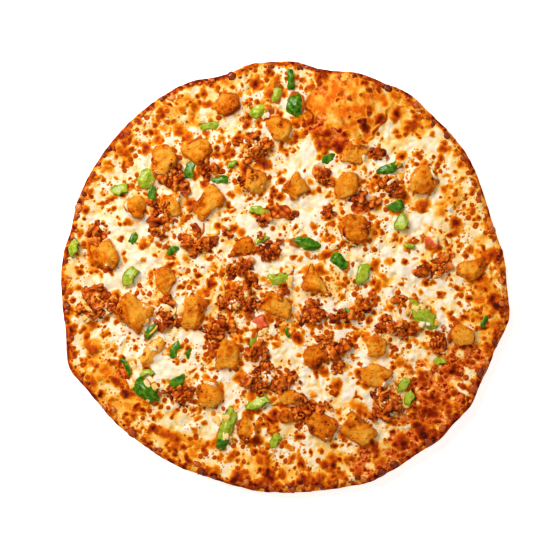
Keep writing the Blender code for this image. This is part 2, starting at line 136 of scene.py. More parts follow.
# Loose crumbs of sausage: fields of them in mm, and how many
Field = namedtuple("Field", "x y half_x half_y count")
CRUMB_PLENTY = 2.6
CRUMB_FIELDS = rows(
    Field,
    (-21, 105, 17, 10, 16), (-86, 77, 13, 9, 12), (-100, 50, 12, 17, 20), (-73, 28, 15, 10, 16),
    (-151, 34, 10, 8, 8), (-152, -20, 17, 16, 18), (-94, -30, 12, 12, 14), (-33, 6, 8, 11, 12),
    (-38, -17, 19, 13, 20), (-52, -41, 10, 9, 10), (22, -30, 12, 10, 12), (63, -26, 8, 11, 10),
    (-25, -64, 11, 9, 10), (-11, -84, 25, 10, 24), (39, -62, 12, 12, 14), (89, -41, 12, 8, 10),
    (125, -55, 9, 9, 9), (122, 6, 16, 8, 14), (87, 75, 11, 9, 9), (79, 101, 7, 7, 6),
    (83, -99, 14, 15, 18), (-84, -97, 12, 8, 10), (-63, 88, 9, 6, 7), (28, 84, 6, 11, 7),
    (15, -106, 22, 10, 18), (-6, 52, 14, 8, 6), (64, 60, 12, 10, 7), (-10, 20, 14, 10, 8),
    (0, 0, 120, 110, 60),
)
# Small cuts of pepper: place, length, width, direction and curl in degrees, and whether the skin is up
Cut = namedtuple("Cut", "x y length width turn curl skin")
PEPPER_CUTS = rows(
    Cut,
    (-133, 71, 12, 9, 20, 40, 0), (-107, 68, 12, 6, 75, 50, 1), (-76, 88, 15, 7, 65, 60, 1),
    (-53, 79, 15, 6, 15, 70, 1), (-61, 123, 16, 6, 10, 60, 0), (91, 58, 12, 9, 30, 50, 1),
    (95, 44, 12, 10, 60, 60, 0), (36, 97, 11, 6, 30, 80, 1), (-20, 54, 16, 7, -20, 60, 0),
    (64, 3, 15, 10, 80, 50, 0), (-170, 24, 12, 8, 85, 90, 0), (-123, 31, 9, 5, 60, 60, 1),
    (-125, 1, 16, 9, 65, 60, 0), (-90, 22, 11, 4, 35, 60, 1), (-111, -77, 12, 5, 10, 150, 0),
    (-127, -72, 18, 4, -65, 90, 1), (-20, -101, 15, 11, 40, 70, 0), (-25, -53, 13, 6, 80, 60, 0),
    (-7, -133, 12, 7, 70, 60, 0), (97, -87, 12, 7, 60, 60, 0), (101, -99, 12, 7, 70, 60, 0),
    (162, -36, 10, 5, 60, 60, 1), (55, -30, 10, 5, -30, 60, 1), (126, -68, 11, 6, 10, 60, 0),
    (-87, -85, 12, 8, 30, 70, 1), (-89, -59, 14, 6, 60, 80, 1), (-19, 30, 10, 5, 10, 60, 0),
    (-42, 92, 8, 5, 40, 60, 0), (101, 25, 7, 4, 0, 60, 0), (-78, -62, 9, 3, 70, 90, 1),
    (2, -45, 9, 3, 100, 70, 1),
)
RIM_BEADS = 190
DAB_COUNT = 170
STRAND_COUNT = 34
FLECK_COUNT = 170


def srgb(red, green, blue):
    """A linear colour from the 0 to 255 values that a picture shows."""
    channels = []
    for value in (red, green, blue):
        share = value / 255
        channels.append(share / 12.92 if share <= 0.04045 else ((share + 0.055) / 1.055) ** 2.4)
    return (*channels, 1)


def at(x, y):
    """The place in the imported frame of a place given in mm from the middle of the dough."""
    return x * MM + MIDDLE_X, y * MM + MIDDLE_Y


# Smooth noise


def hashed(cells):
    """A repeatable draw from -1 to 1 for each whole-number cell."""
    mixed = cells[:, 0] * 374761393 + cells[:, 1] * 668265263 + cells[:, 2] * 1440662683
    mixed &= 0xFFFFFFFF
    mixed = ((mixed ^ (mixed >> 13)) * 1274126177) & 0xFFFFFFFF
    mixed ^= mixed >> 16
    return (mixed & 0xFFFF) / 32767.5 - 1


def noise(points, size, seed):
    """Smooth noise from -1 to 1 at an array of points, with bumps of about one size."""
    grid = points / size + 19.7 * seed
    cells = np.floor(grid).astype(np.int64)
    share = grid - cells
    share = share * share * (3 - 2 * share)
    total = np.zeros(len(points))
    for corner in range(8):
        step = np.array([(corner >> axis) & 1 for axis in range(3)])
        weight = np.where(step, share, 1 - share).prod(axis=1)
        total += weight * hashed(cells + step)
    return total


def fractal(points, size, seed, octaves=3):
    """Noise with finer and weaker noise on it."""
    return sum(noise(points, size / 2**k, seed + k) / 2**k for k in range(octaves))


def smooth_step(value, low, high):
    share = np.clip((value - low) / (high - low), 0, 1)
    return share * share * (3 - 2 * share)


# Maps of the pizza from above

MAP_CELLS = int(2 * MAP_HALF / CELL) + 1
AXIS = np.linspace(-MAP_HALF, MAP_HALF, MAP_CELLS)
MAP_X, MAP_Y = np.meshgrid(AXIS, AXIS, indexing="ij")
MAP_POINTS = np.column_stack([MAP_X.ravel(), MAP_Y.ravel(), np.zeros(MAP_X.size)])


def map_noise(size, seed, octaves=3):
    return fractal(MAP_POINTS, size, seed, octaves).reshape(MAP_X.shape)


def window(x, y, reach):
    """The part of a map round a place, as a pair of slices."""
    span = int(reach / CELL) + 2
    column = int(round((x + MAP_HALF) / CELL))
    row = int(round((y + MAP_HALF) / CELL))
    across = slice(max(0, column - span), min(MAP_CELLS, column + span + 1))
    along = slice(max(0, row - span), min(MAP_CELLS, row + span + 1))
    return across, along


def read_map(values, x, y):
    """A map's value at places between its cells."""
    column = np.clip((x + MAP_HALF) / CELL, 0, MAP_CELLS - 1.001)
    row = np.clip((y + MAP_HALF) / CELL, 0, MAP_CELLS - 1.001)
    left = column.astype(int)
    low = row.astype(int)
    across = column - left
    along = row - low
    lower = values[left, low] * (1 - across) + values[left + 1, low] * across
    upper = values[left, low + 1] * (1 - across) + values[left + 1, low + 1] * across
    return lower * (1 - along) + upper * along


# How far the outlines of marks are pulled about, across and along
PULL = 1.2 * MM
PULL_X = PULL * map_noise(3.2 * MM, 71, 3)
PULL_Y = PULL * map_noise(3.2 * MM, 73, 3)


def stamp(values, x, y, reach, profile, stretch=1.0, turn=0.0):
    """Raises a map to an uneven round mark. The profile turns the share of the reach into a value."""
    part = window(x, y, reach * stretch + PULL)
    away_x = MAP_X[part] + PULL_X[part] - x
    away_y = MAP_Y[part] + PULL_Y[part] - y
    along = (away_x * math.cos(turn) + away_y * math.sin(turn)) / (reach * stretch)
    across = (away_y * math.cos(turn) - away_x * math.sin(turn)) / reach
    share = np.hypot(along, across)
    mark = np.where(share < 1, profile(np.minimum(share, 1)), 0)
    values[part] = np.maximum(values[part], mark)


def patch_map(patches, ragged=0.35):
    """Soft uneven patches as a map from 0 to 1."""
    values = np.zeros(MAP_X.shape)
    uneven = ragged * map_noise(11 * MM, 40, 3)
    for patch in patches:
        x, y = at(patch.x, patch.y)
        across = (MAP_X - x) / (patch.half_x * MM)
        along = (MAP_Y - y) / (patch.half_y * MM)
        share = 1.15 - np.hypot(across, along) + uneven
        values = np.maximum(values, patch.amount * smooth_step(share, 0, 0.55))
    return values


# What the frame says: the outline, the level of the cheese and the toppings' footprints


def node_points(name):
    return np.array([vertex.co for vertex in NODES[name].data.vertices])


def node_tree(names):
    """A search tree over the triangles of some nodes."""
    points = []
    faces = []
    for name in names:
        start = len(points)
        mesh = NODES[name].data
        points += [vertex.co.copy() for vertex in mesh.vertices]
        faces += [[start + corner for corner in polygon.vertices] for polygon in mesh.polygons]
    return BVHTree.FromPolygons(points, faces)


def hit_from_above(tree, x, y):
    """The uppermost point of a shape at a place, or None."""
    return tree.ray_cast(Vector((x, y, 0.1)), Vector((0, 0, -1)))[0]


def read_outline():
    """The dough's radius in each half degree, smooth through the spokes of the solid."""
    spokes = 72
    points = node_points("crust")
    away_x = points[:, 0] - MIDDLE_X
    away_y = points[:, 1] - MIDDLE_Y
    spoke = np.round(np.arctan2(away_y, away_x) / math.tau * spokes).astype(int) % spokes
    radii = np.zeros(spokes)
    np.maximum.at(radii, spoke, np.hypot(away_x, away_y))
    steps = 720
    return np.fft.irfft(np.fft.rfft(radii), n=steps) * steps / spokes


OUTLINE = read_outline()


def outline_radius(angle):
    turns = np.arange(len(OUTLINE) + 1) / len(OUTLINE)
    return np.interp((angle / math.tau) % 1, turns, np.append(OUTLINE, OUTLINE[0]))


def inset_of(x, y):
    """How far inside the outline a place is."""
    away_x = x - MIDDLE_X
    away_y = y - MIDDLE_Y
    return outline_radius(np.arctan2(away_y, away_x)) - np.hypot(away_x, away_y)


def footprint_map(names, reach):
    """Distance to the nearest of some nodes seen from above, less than 0 over it, up to a reach."""
    values = np.full(MAP_X.shape, reach)
    for name in names:
        flat = [Vector(point[:2]) for point in node_points(name)]
        hull = np.array([flat[corner] for corner in geometry.convex_hull_2d(flat)])
        middle = hull.mean(axis=0)
        part = window(*middle, np.abs(hull - middle).max() + reach)
        distance = np.full(MAP_X[part].shape, -1.0)
        for start, end in zip(hull, np.roll(hull, -1, axis=0)):
            side = end - start
            length = np.hypot(*side)
            if length < 0.05 * MM:
                continue
            outward = np.array([side[1], -side[0]]) / length
            if np.dot(outward, middle - start) > 0:
                outward = -outward
            away = (MAP_X[part] - start[0]) * outward[0] + (MAP_Y[part] - start[1]) * outward[1]
            distance = np.maximum(distance, away)
        values[part] = np.minimum(values[part], distance)
    return values


def blurred(values, cells):
    """A map softened over a number of cells."""
    reach = int(3 * cells)
    steps = np.arange(-reach, reach + 1)
    weights = np.exp(-0.5 * (steps / cells) ** 2)
    weights /= weights.sum()
    for axis in (0, 1):
        padded = np.pad(values, [(reach, reach) if a == axis else (0, 0) for a in (0, 1)], mode="edge")
        count = values.shape[axis]
        parts = [np.take(padded, range(k, k + count), axis=axis) * weights[k] for k in range(2 * reach + 1)]
        values = sum(parts)
    return values


def refined(values, stride):
    """A map carried from every few cells to all of them."""
    rows = np.arange(MAP_CELLS) / stride
    low = np.minimum(rows.astype(int), len(values) - 2)
    part = rows - low
    tall = values[low] * (1 - part)[:, None] + values[low + 1] * part[:, None]
    return tall[:, low] * (1 - part) + tall[:, low + 1] * part


def read_topping_tops(tree, footprints):
    """The height of the toppings' upper sides over their footprints, and 0 elsewhere."""
    stride = 2
    tops = np.zeros(MAP_X[::stride, ::stride].shape)
    for place in zip(*np.nonzero(footprints[::stride, ::stride] < 0.3 * MM)):
        hit = hit_from_above(tree, AXIS[place[0] * stride], AXIS[place[1] * stride])
        if hit:
            tops[place] = hit.z
    return refined(tops, stride)


def read_cheese_level(footprints):
    """The height of the melted cheese, read from its solid between the toppings."""
    stride = 4
    tree = node_tree(["cheese"])
    coarse_x = MAP_X[::stride, ::stride]
    coarse_y = MAP_Y[::stride, ::stride]
    level = np.zeros(coarse_x.shape)
    open_place = footprints[::stride, ::stride] > 2.2 * MM
    known = np.zeros(coarse_x.shape)
    for place in zip(*np.nonzero(open_place & (inset_of(coarse_x, coarse_y) > 3.2 * MM))):
        hit = hit_from_above(tree, coarse_x[place], coarse_y[place])
        if hit:
            level[place] = hit.z
            known[place] = 1
    result = np.full(coarse_x.shape, CHEESE_LEVEL)
    for cells in (12, 6, 2.5, 1.4):
        share = blurred(known, cells)
        blend = smooth_step(share, 0.02, 0.3)
        result = result * (1 - blend) + blend * blurred(level * known, cells) / np.maximum(share, 1e-6)
    return refined(result, stride)


# Meshes from arrays


def fan(start, count, tip):
    """Triangles from a ring of corners to one more."""
    here = np.arange(count)
    return np.column_stack([start + here, start + (here + 1) % count, np.full(count, tip)])


def round_net(rings):
    """A disc of even triangles: each corner's share of the radius, its direction, and the triangles."""
    shares = [np.zeros(1)]
    angles = [np.zeros(1)]
    triangles = []
    start = 0
    inner_count = 1
    for ring in range(1, rings + 1):
        count = 6 * ring
        shares.append(np.full(count, ring / rings))
        angles.append(math.tau * np.arange(count) / count)
        outer_start = start + inner_count
        for side in range(6):
            step = np.arange(ring)
            near = start + (side * (ring - 1) + step) % inner_count
            first = outer_start + side * ring + step
            second = outer_start + (side * ring + step + 1) % count
            triangles.append(np.column_stack([near, first, second]))
            following = start + (side * (ring - 1) + step[:-1] + 1) % inner_count
            triangles.append(np.column_stack([near[:-1], second[:-1], following]))
        start = outer_start
        inner_count = count
    return np.concatenate(shares), np.concatenate(angles), np.concatenate(triangles)


def around(reach, angle):
    """Places at a reach from the middle of the dough, in directions."""
    return MIDDLE_X + reach * np.cos(angle), MIDDLE_Y + reach * np.sin(angle)


def band(first_start, second_start, count):
    """Triangles between two rings of equally many corners, the second lying outside or below."""
    here = np.arange(count)
    after = (here + 1) % count
    lower = np.column_stack([first_start + here, second_start + here, second_start + after])
    upper = np.column_stack([first_start + here, second_start + after, first_start + after])
    return np.concatenate([lower, upper])


def new_object(name, data):
    """An object in the scene."""
    obj = bpy.data.objects.new(name, data)
    bpy.context.scene.collection.objects.link(obj)
    return obj


def add_piece(name, points, faces, material, attributes, node=None):
    """A smooth mesh that rides on the pizza and may stand for a node, with values for its material."""
    mesh = bpy.data.meshes.new(name)
    mesh.from_pydata(points.tolist(), [], faces.tolist())
    for key, values in attributes.items():
        layer = mesh.attributes.new(key, "FLOAT", "POINT")
        layer.data.foreach_set("value", np.asarray(values, dtype=np.float32))
    mesh.materials.append(material)
    mesh.shade_smooth()
    obj = new_object(name, mesh)
    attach(obj, ROOT)
    if node:
        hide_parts(node)


class Heap:
    """Small pieces of one kind gathered into one mesh."""

    def __init__(self):
        self.points = []
        self.faces = []
        self.values = {}
        self.count = 0

    def add(self, points, faces, **values):
        self.faces.append(faces + self.count)
        self.points.append(points)
        self.count += len(points)
        for key, value in values.items():
            self.values.setdefault(key, []).append(np.broadcast_to(value, len(points)))

    def finish(self, name, slot, material, node=None):
        values = {key: np.concatenate(parts) for key, parts in self.values.items()}
        points, faces = np.concatenate(self.points), np.concatenate(self.faces)
        add_piece(name, points, faces, material, values, node)


def unit_ball(level):
    """The corners and triangles of an even ball of radius 1."""
    ball = bmesh.new()
    bmesh.ops.create_icosphere(ball, subdivisions=level, radius=1)
    points = np.array([vertex.co for vertex in ball.verts])
    faces = np.array([[vertex.index for vertex in face.verts] for face in ball.faces])
    ball.free()
    return points, faces


BALLS = {level: unit_ball(level) for level in (1, 2, 3, 4)}


def random_turn(rng):
    """A rotation drawn evenly from all directions."""
    quarter = rng.normal(size=4)
    quarter /= np.linalg.norm(quarter)
    w, x, y, z = quarter
    return np.array(
        [
            [1 - 2 * (y * y + z * z), 2 * (x * y - z * w), 2 * (x * z + y * w)],
            [2 * (x * y + z * w), 1 - 2 * (x * x + z * z), 2 * (y * z - x * w)],
            [2 * (x * z - y * w), 2 * (y * z + x * w), 1 - 2 * (x * x + y * y)],
        ]
    )


def minced_lump(rng, level, knobs=22, breadth=0.07):
    """A lump of minced meat: a ball raised by knobs. Returns points, faces and how high each stands."""
    ball, faces = BALLS[level]
    directions = rng.normal(size=(knobs, 3))
    directions /= np.linalg.norm(directions, axis=1)[:, None]
    closeness = ball @ directions.T
    bumps = np.exp(-((1 - closeness) / breadth)) * rng.uniform(0.3, 1, knobs)
    raised = bumps.max(axis=1)
    rough = fractal(ball, 0.75, rng.integers(1, 999), 3)
    reach = 0.52 + 0.46 * raised + 0.34 * rough
    return ball * reach[:, None], faces, np.clip(raised + 0.45 * rough, 0, 1)


# Materials

# What the cheese's material reads at each corner
SURFACE_VALUES = ("toast", "gold", "sauce", "specks", "grease_and_contact_shade", "meat", "knobs", "edge")
PLAIN_CHEESE = dict.fromkeys(SURFACE_VALUES, 0.0)


class Recipe:
    """A node material under construction on one Principled shader."""

    def __init__(self, name):
        self.material = bpy.data.materials.new(name)
        self.material.use_nodes = True
        self.nodes = self.material.node_tree.nodes
        self.surface = self.nodes["Principled BSDF"]
        self.place = self.nodes.new("ShaderNodeTexCoord").outputs["Object"]

    def wire(self, node, inputs):
        """Links or sets a node's inputs, given by name or number."""
        for key, value in inputs.items():
            if isinstance(value, bpy.types.NodeSocket):
                self.material.node_tree.links.new(value, node.inputs[key])
            else:
                node.inputs[key].default_value = value

    def add(self, kind, inputs, **settings):
        """A new node's outputs."""
        node = self.nodes.new("ShaderNode" + kind)
        for key, value in settings.items():
            setattr(node, key, value)
        self.wire(node, inputs)
        return node.outputs

    def attribute(self, name):
        return self.add("Attribute", {}, attribute_name=name)["Fac"]

    def noise(self, size, detail=3.0):
        """Noise from 0 to 1 with features of about a size in metres."""
        return self.add("TexNoise", {"Vector": self.place, "Scale": 1 / size, "Detail": detail})["Fac"]

    def cells(self, size):
        """Distance to the nearest of scattered points, in sizes, and a draw for each point."""
        outputs = self.add("TexVoronoi", {"Vector": self.place, "Scale": 1 / size})
        return outputs["Distance"], outputs["Color"]

    def maths(self, operation, *values):
        return self.add("Math", dict(enumerate(values)), operation=operation)[0]

    def plus(self, first, second):
        return self.maths("ADD", first, second)

    def scaled(self, value, factor, shift):
        return self.maths("MULTIPLY_ADD", value, factor, shift)

    def span(self, *ranges):
        """A value carried smoothly from one range, low and high, to another."""
        ranges = dict(enumerate(ranges))
        return self.add("MapRange", ranges, interpolation_type="SMOOTHSTEP")[0]

    def spots(self, size, plenty, ragged, darkest):
        """Scattered round spots with soft edges. Plenty, 0 to 1, is how many of them there are."""
        distance, draw = self.cells(size)
        reach = self.span(self.plus(draw, plenty), 0.6, 1.6, 0.0, 0.5)
        away = self.scaled(ragged, 0.24, self.maths("SUBTRACT", distance, 0.12))
        return self.span(self.maths("SUBTRACT", reach, away), 0.0, 0.22, 0.0, darkest)

    def ramp(self, value, *stops):
        """Colours along a value. Each stop is a position and the red, green and blue of a picture."""
        node = self.nodes.new("ShaderNodeValToRGB")
        elements = node.color_ramp.elements
        while len(elements) < len(stops):
            elements.new(1)
        for element, (position, *colour) in zip(elements, stops):
            element.position = position
            element.color = srgb(*colour)
        self.wire(node, {0: value})
        return node.outputs["Color"]

    def mix(self, share, first, second):
        return self.add("Mix", {0: share, 6: first, 7: second}, data_type="RGBA")[2]

    def bump(self, height, depth):
        """Relief of a depth in metres, from a height of 0 to 1."""
        relief = self.add("Bump", {"Distance": depth, "Height": height})
        self.wire(self.surface, {"Normal": relief[0]})

    def finish(self, colour, roughness, coat=0.0, soft=0.0, shine=0.16):
        """Sets the surface and returns the material. Soft is the share of light that goes in."""
        inputs = {
            "Base Color": colour,
            "Roughness": roughness,
            "Specular IOR Level": shine,
            "Coat Weight": coat,
            "Coat Roughness": 0.08,
            "Subsurface Weight": soft,
            "Subsurface Radius": (1.0, 0.5, 0.25),
            "Subsurface Scale": 1.6 * MM,
        }
        self.wire(self.surface, inputs)
        return self.material


def cheese_material():
    """Cream cheese going to gold and sauce red, with amber and brown toasted spots."""
    recipe = Recipe("melted_cheese")
    toast, gold, sauce, specks, grease_and_contact_shade, meat, knobs, edge = map(recipe.attribute, SURFACE_VALUES)
    fine = recipe.noise(1.1 * MM, 4)
    broad = recipe.noise(4 * MM, 3)
    uneven = recipe.plus(recipe.scaled(fine, 0.34, -0.17), recipe.scaled(broad, 0.3, -0.15))
    small = recipe.spots(2.6 * MM, specks, fine, 0.44)
    large = recipe.spots(6.2 * MM, specks, fine, 0.7)
    marks = recipe.maths("MAXIMUM", toast, recipe.maths("MAXIMUM", small, large))
    spots = recipe.plus(marks, uneven)

    cream = ((0.0, 251, 236, 213), (0.22, 250, 214, 146), (0.5, 248, 184, 78))
    orange = ((0.8, 240, 140, 20), (1.0, 226, 108, 8))
    base = recipe.ramp(recipe.plus(gold, recipe.scaled(broad, 0.5, -0.25)), *cream, *orange)
    dark_red = ((0.38, 126, 26, 0), (0.46, 186, 48, 3), (0.52, 216, 80, 8))
    light_red = ((0.58, 238, 126, 34), (0.66, 252, 194, 122))
    red = recipe.ramp(broad, *dark_red, *light_red)
    creases = recipe.span(recipe.maths("ABSOLUTE", recipe.plus(broad, -0.5)), 0.0, 0.045, 0.55, 0.0)
    red = recipe.mix(creases, red, srgb(246, 182, 88))
    saucy = recipe.span(recipe.plus(sauce, uneven), 0.15, 0.7)
    base = recipe.mix(saucy, base, red)

    amber = ((0.25, 249, 184, 66), (0.42, 238, 138, 14))
    brown = ((0.62, 206, 92, 3), (0.84, 150, 46, 2), (1.0, 84, 22, 2))
    toasted = recipe.ramp(spots, *amber, *brown)
    red_toasted = recipe.ramp(spots, (0.25, 222, 92, 18), (0.6, 170, 48, 2), (1.0, 78, 16, 0))
    toasted = recipe.mix(recipe.maths("MULTIPLY", saucy, 0.75), toasted, red_toasted)
    colour = recipe.mix(recipe.span(spots, 0.1, 0.3), base, toasted)
    # Browner in a ring round each topping: painted contact shade, with some grease.
    grease_and_shade_brown = recipe.ramp(fine, (0.3, 150, 62, 14), (0.7, 206, 116, 36))
    colour = recipe.mix(recipe.span(recipe.plus(grease_and_contact_shade, uneven), 0.3, 1), colour, grease_and_shade_brown)
    # Minced meat on the cheese, dark low between its knobs and light on their tops: painted shade and painted
    # highlight on the relief.
    crevice_shade_to_knob_light = ((0.25, 84, 26, 4), (0.45, 150, 56, 8), (0.7, 206, 96, 20), (1.0, 240, 152, 62))
    minced = recipe.ramp(recipe.scaled(fine, 0.5, knobs), *crevice_shade_to_knob_light)
    colour = recipe.mix(recipe.span(recipe.scaled(uneven, 1.2, meat), 0.25, 0.6), colour, minced)

    raised = recipe.scaled(recipe.span(spots, 0.1, 0.9), 2.0, fine)
    recipe.bump(recipe.scaled(broad, 0.8, raised), 0.45 * MM)
    matt = recipe.scaled(gold, 0.12, recipe.span(fine, 0.2, 0.8, 0.36, 0.52))
    roughness = recipe.scaled(recipe.span(spots, 0.3, 0.7), -0.16, matt)
    roughness = recipe.scaled(edge, 0.35, roughness)
    return recipe.finish(colour, roughness, coat=0.03, soft=0.1, shine=0.09)


def bead_material():
    """Cheese fried dark at the rim, glossy with oil."""
    recipe = Recipe("fried_cheese")
    fine = recipe.noise(1.3 * MM, 4)
    shade = recipe.plus(recipe.attribute("shade"), recipe.scaled(fine, 0.5, -0.25))
    brown = ((0.0, 74, 26, 10), (0.35, 132, 48, 12), (0.65, 190, 84, 22), (1.0, 235, 150, 62))
    recipe.bump(fine, 0.3 * MM)
    return recipe.finish(recipe.ramp(shade, *brown), 0.32, coat=0.35, soft=0.05)


def crust_material():
    """Pan-baked dough: golden side, darker where it fried against the pan, with pores."""
    recipe = Recipe("baked_dough")
    middle = recipe.noise(4 * MM, 4)
    fine = recipe.noise(0.9 * MM, 3)
    bake = recipe.scaled(recipe.noise(16 * MM, 4), 1.1, recipe.scaled(middle, 0.9, -0.98))
    bake = recipe.plus(recipe.attribute("bake"), bake)
    golden = ((0.0, 238, 200, 140), (0.3, 222, 164, 88), (0.58, 188, 112, 44))
    brown = ((0.82, 136, 68, 24), (1.0, 84, 38, 16))
    pores = recipe.cells(1.7 * MM)[0]
    recipe.bump(recipe.plus(recipe.maths("MULTIPLY", fine, 0.7), recipe.span(pores, 0, 0.4)), 0.35 * MM)
    roughness = recipe.span(middle, 0.3, 0.7, 0.55, 0.8)
    return recipe.finish(recipe.ramp(bake, *golden, *brown), roughness, coat=0.04, soft=0.04)


def chicken_material():
    """Seasoned roast chicken: orange gold with brown edges and small dark pits."""
    recipe = Recipe("roast_chicken")
    fine = recipe.noise(0.9 * MM, 5)
    middle = recipe.noise(3.4 * MM, 4)
    tone = recipe.scaled(middle, 1.0, recipe.scaled(fine, 0.8, -0.9))
    tone = recipe.maths("SUBTRACT", tone, recipe.spots(2.2 * MM, 0.5, fine, 0.5))
    tone = recipe.plus(tone, recipe.attribute("tone"))
    brown = ((0.0, 84, 30, 4), (0.2, 156, 64, 6), (0.4, 208, 98, 8))
    orange = ((0.6, 234, 126, 14), (0.8, 246, 150, 28), (1.0, 252, 180, 66))
    pits = recipe.span(recipe.cells(1.5 * MM)[0], 0, 0.5)
    relief = recipe.scaled(fine, 0.9, recipe.maths("MULTIPLY", pits, 0.35))
    relief = recipe.scaled(recipe.noise(0.45 * MM, 3), 0.5, relief)
    recipe.bump(recipe.plus(relief, middle), 0.9 * MM)
    roughness = recipe.span(fine, 0.3, 0.7, 0.45, 0.65)
    return recipe.finish(recipe.ramp(tone, *brown, *orange), roughness, coat=0.04, shine=0.1)


def sausage_material():
    """Crumbled sausage: red brown, with painted shade between its knobs, and fat that shines."""
    recipe = Recipe("crumbled_sausage")
    fine = recipe.noise(0.8 * MM, 4)
    tone = recipe.plus(recipe.scaled(fine, 0.5, -0.25), recipe.attribute("tone"))
    dark = ((0.0, 78, 22, 2), (0.2, 138, 48, 2), (0.4, 186, 80, 8))
    light = ((0.62, 222, 114, 22), (1.0, 246, 168, 74))
    recipe.bump(fine, 0.5 * MM)
    return recipe.finish(recipe.ramp(tone, *dark, *light), recipe.span(fine, 0.3, 0.7, 0.4, 0.65), coat=0.06)


def pepper_material():
    """Green pepper: dark waxy skin, and pale wet flesh on the cut and inner sides."""
    recipe = Recipe("green_pepper")
    middle = recipe.noise(3.5 * MM, 3)
    fine = recipe.noise(1.0 * MM, 3)
    skin_tone = recipe.ramp(middle, (0.3, 34, 84, 6), (0.5, 70, 122, 10), (0.7, 126, 160, 26))
    flesh = recipe.scaled(fine, 0.4, recipe.maths("MULTIPLY", middle, 0.6))
    flesh_tone = recipe.ramp(flesh, (0.3, 104, 136, 14), (0.5, 164, 178, 38), (0.7, 208, 208, 92))
    skin = recipe.plus(recipe.attribute("skin"), recipe.scaled(fine, 0.3, -0.15))
    colour = recipe.mix(recipe.span(skin, 0.3, 0.65), flesh_tone, skin_tone)
    recipe.bump(recipe.scaled(middle, 1.2, fine), 0.3 * MM)
    return recipe.finish(colour, 0.24, coat=0.4, soft=0.08)


def wet_material(name, stops, depth, roughness, coat, soft):
    """Flesh of a cooked vegetable in mottled colours."""
    recipe = Recipe(name)
    middle = recipe.noise(4 * MM, 3)
    recipe.bump(recipe.scaled(middle, 1.2, recipe.noise(1.0 * MM, 3)), depth)
    return recipe.finish(recipe.ramp(middle, *stops), roughness, coat=coat, soft=soft)


def yellow_pepper_material():
    stops = ((0.25, 226, 128, 22), (0.5, 246, 170, 47), (0.75, 252, 204, 104))
    return wet_material("yellow_pepper_flesh", stops, 0.3 * MM, 0.26, 0.35, 0.15)


def tomato_material():
    """Pinkish flesh going to orange red."""
    stops = ((0.25, 206, 62, 30), (0.5, 232, 104, 58), (0.75, 242, 150, 106))
    return wet_material("tomato_flesh", stops, 0.35 * MM, 0.22, 0.45, 0.2)


def fleck_material():
    """Ground black pepper."""
    recipe = Recipe("pepper_flecks")
    return recipe.finish(recipe.ramp(recipe.noise(0.4 * MM, 2), (0.3, 34, 18, 10), (0.7, 92, 52, 26)), 0.6)


# The cheese

def toasted_spots(footprints, rim, clumps, white, bubble, rng):
    """Maps of how toasted the small spots and the blisters are, and of how high they rise."""
    toast = np.zeros(MAP_X.shape)
    blister = np.zeros(MAP_X.shape)
    for _ in range(SPOT_TRIES):
        x, y = rng.uniform(-MAP_HALF, MAP_HALF, 2)
        edge = inset_of(np.array([x]), np.array([y]))[0]
        if edge < 0.5 * MM:
            continue
        place = tuple(int(round((value + MAP_HALF) / CELL)) for value in (x, y))
        if footprints[place] < -1 * MM:
            continue
        closeness = float(rim[place])
        chance = 0.6 + 0.5 * float(clumps[place]) + 0.2 * closeness - 0.5 * float(white[place])
        chance -= 0.8 * float(bubble[place])
        if rng.random() > chance:
            continue
        size = np.clip(rng.lognormal(math.log(1.5), 0.5), 0.7, 4.2) * MM * (1 + 0.2 * closeness)
        dark = rng.uniform(0.5, 1.05)
        turn = rng.uniform(0, math.pi)
        stretch = 1 + rng.exponential(0.35)
        stamp(toast, x, y, size * 1.45, lambda share: dark * (1 - share**1.5), stretch, turn)
        if size > 1.6 * MM:
            stamp(blister, x, y, size, lambda share: 0.55 * MM * (1 - share * share), stretch, turn)
    for spot in BLISTERS:
        for _ in range(BLISTER_LOBES):
            x, y = at(*(np.array([spot.x, spot.y]) + rng.normal(0, 0.24, 2) * spot.size))
            size = spot.size * rng.uniform(0.2, 0.42) * MM
            dark = spot.dark * rng.uniform(0.6, 1.1)
            turn = rng.uniform(0, math.pi)
            stamp(toast, x, y, size * 1.3, lambda share: dark * (1 - share**2.2), 1.4, turn)
            stamp(blister, x, y, size, lambda share: 0.5 * size * (1 - share**2) ** 0.7, 1.4, turn)
    return toast, blister


def loose_shreds(rng):
    """A map of shreds of cheese that kept their form."""
    shreds = np.zeros(MAP_X.shape)
    for _ in range(SHRED_COUNT):
        x, y = rng.uniform(-MAP_HALF, MAP_HALF, 2)
        turn = rng.uniform(0, math.tau)
        bend = rng.uniform(-0.35, 0.35)
        for _ in range(rng.integers(5, 12)):
            stamp(shreds, x, y, 1.7 * MM, lambda share: (1 - share * share) ** 0.8)
            x += 1.1 * MM * math.cos(turn)
            y += 1.1 * MM * math.sin(turn)
            turn += bend
    return shreds


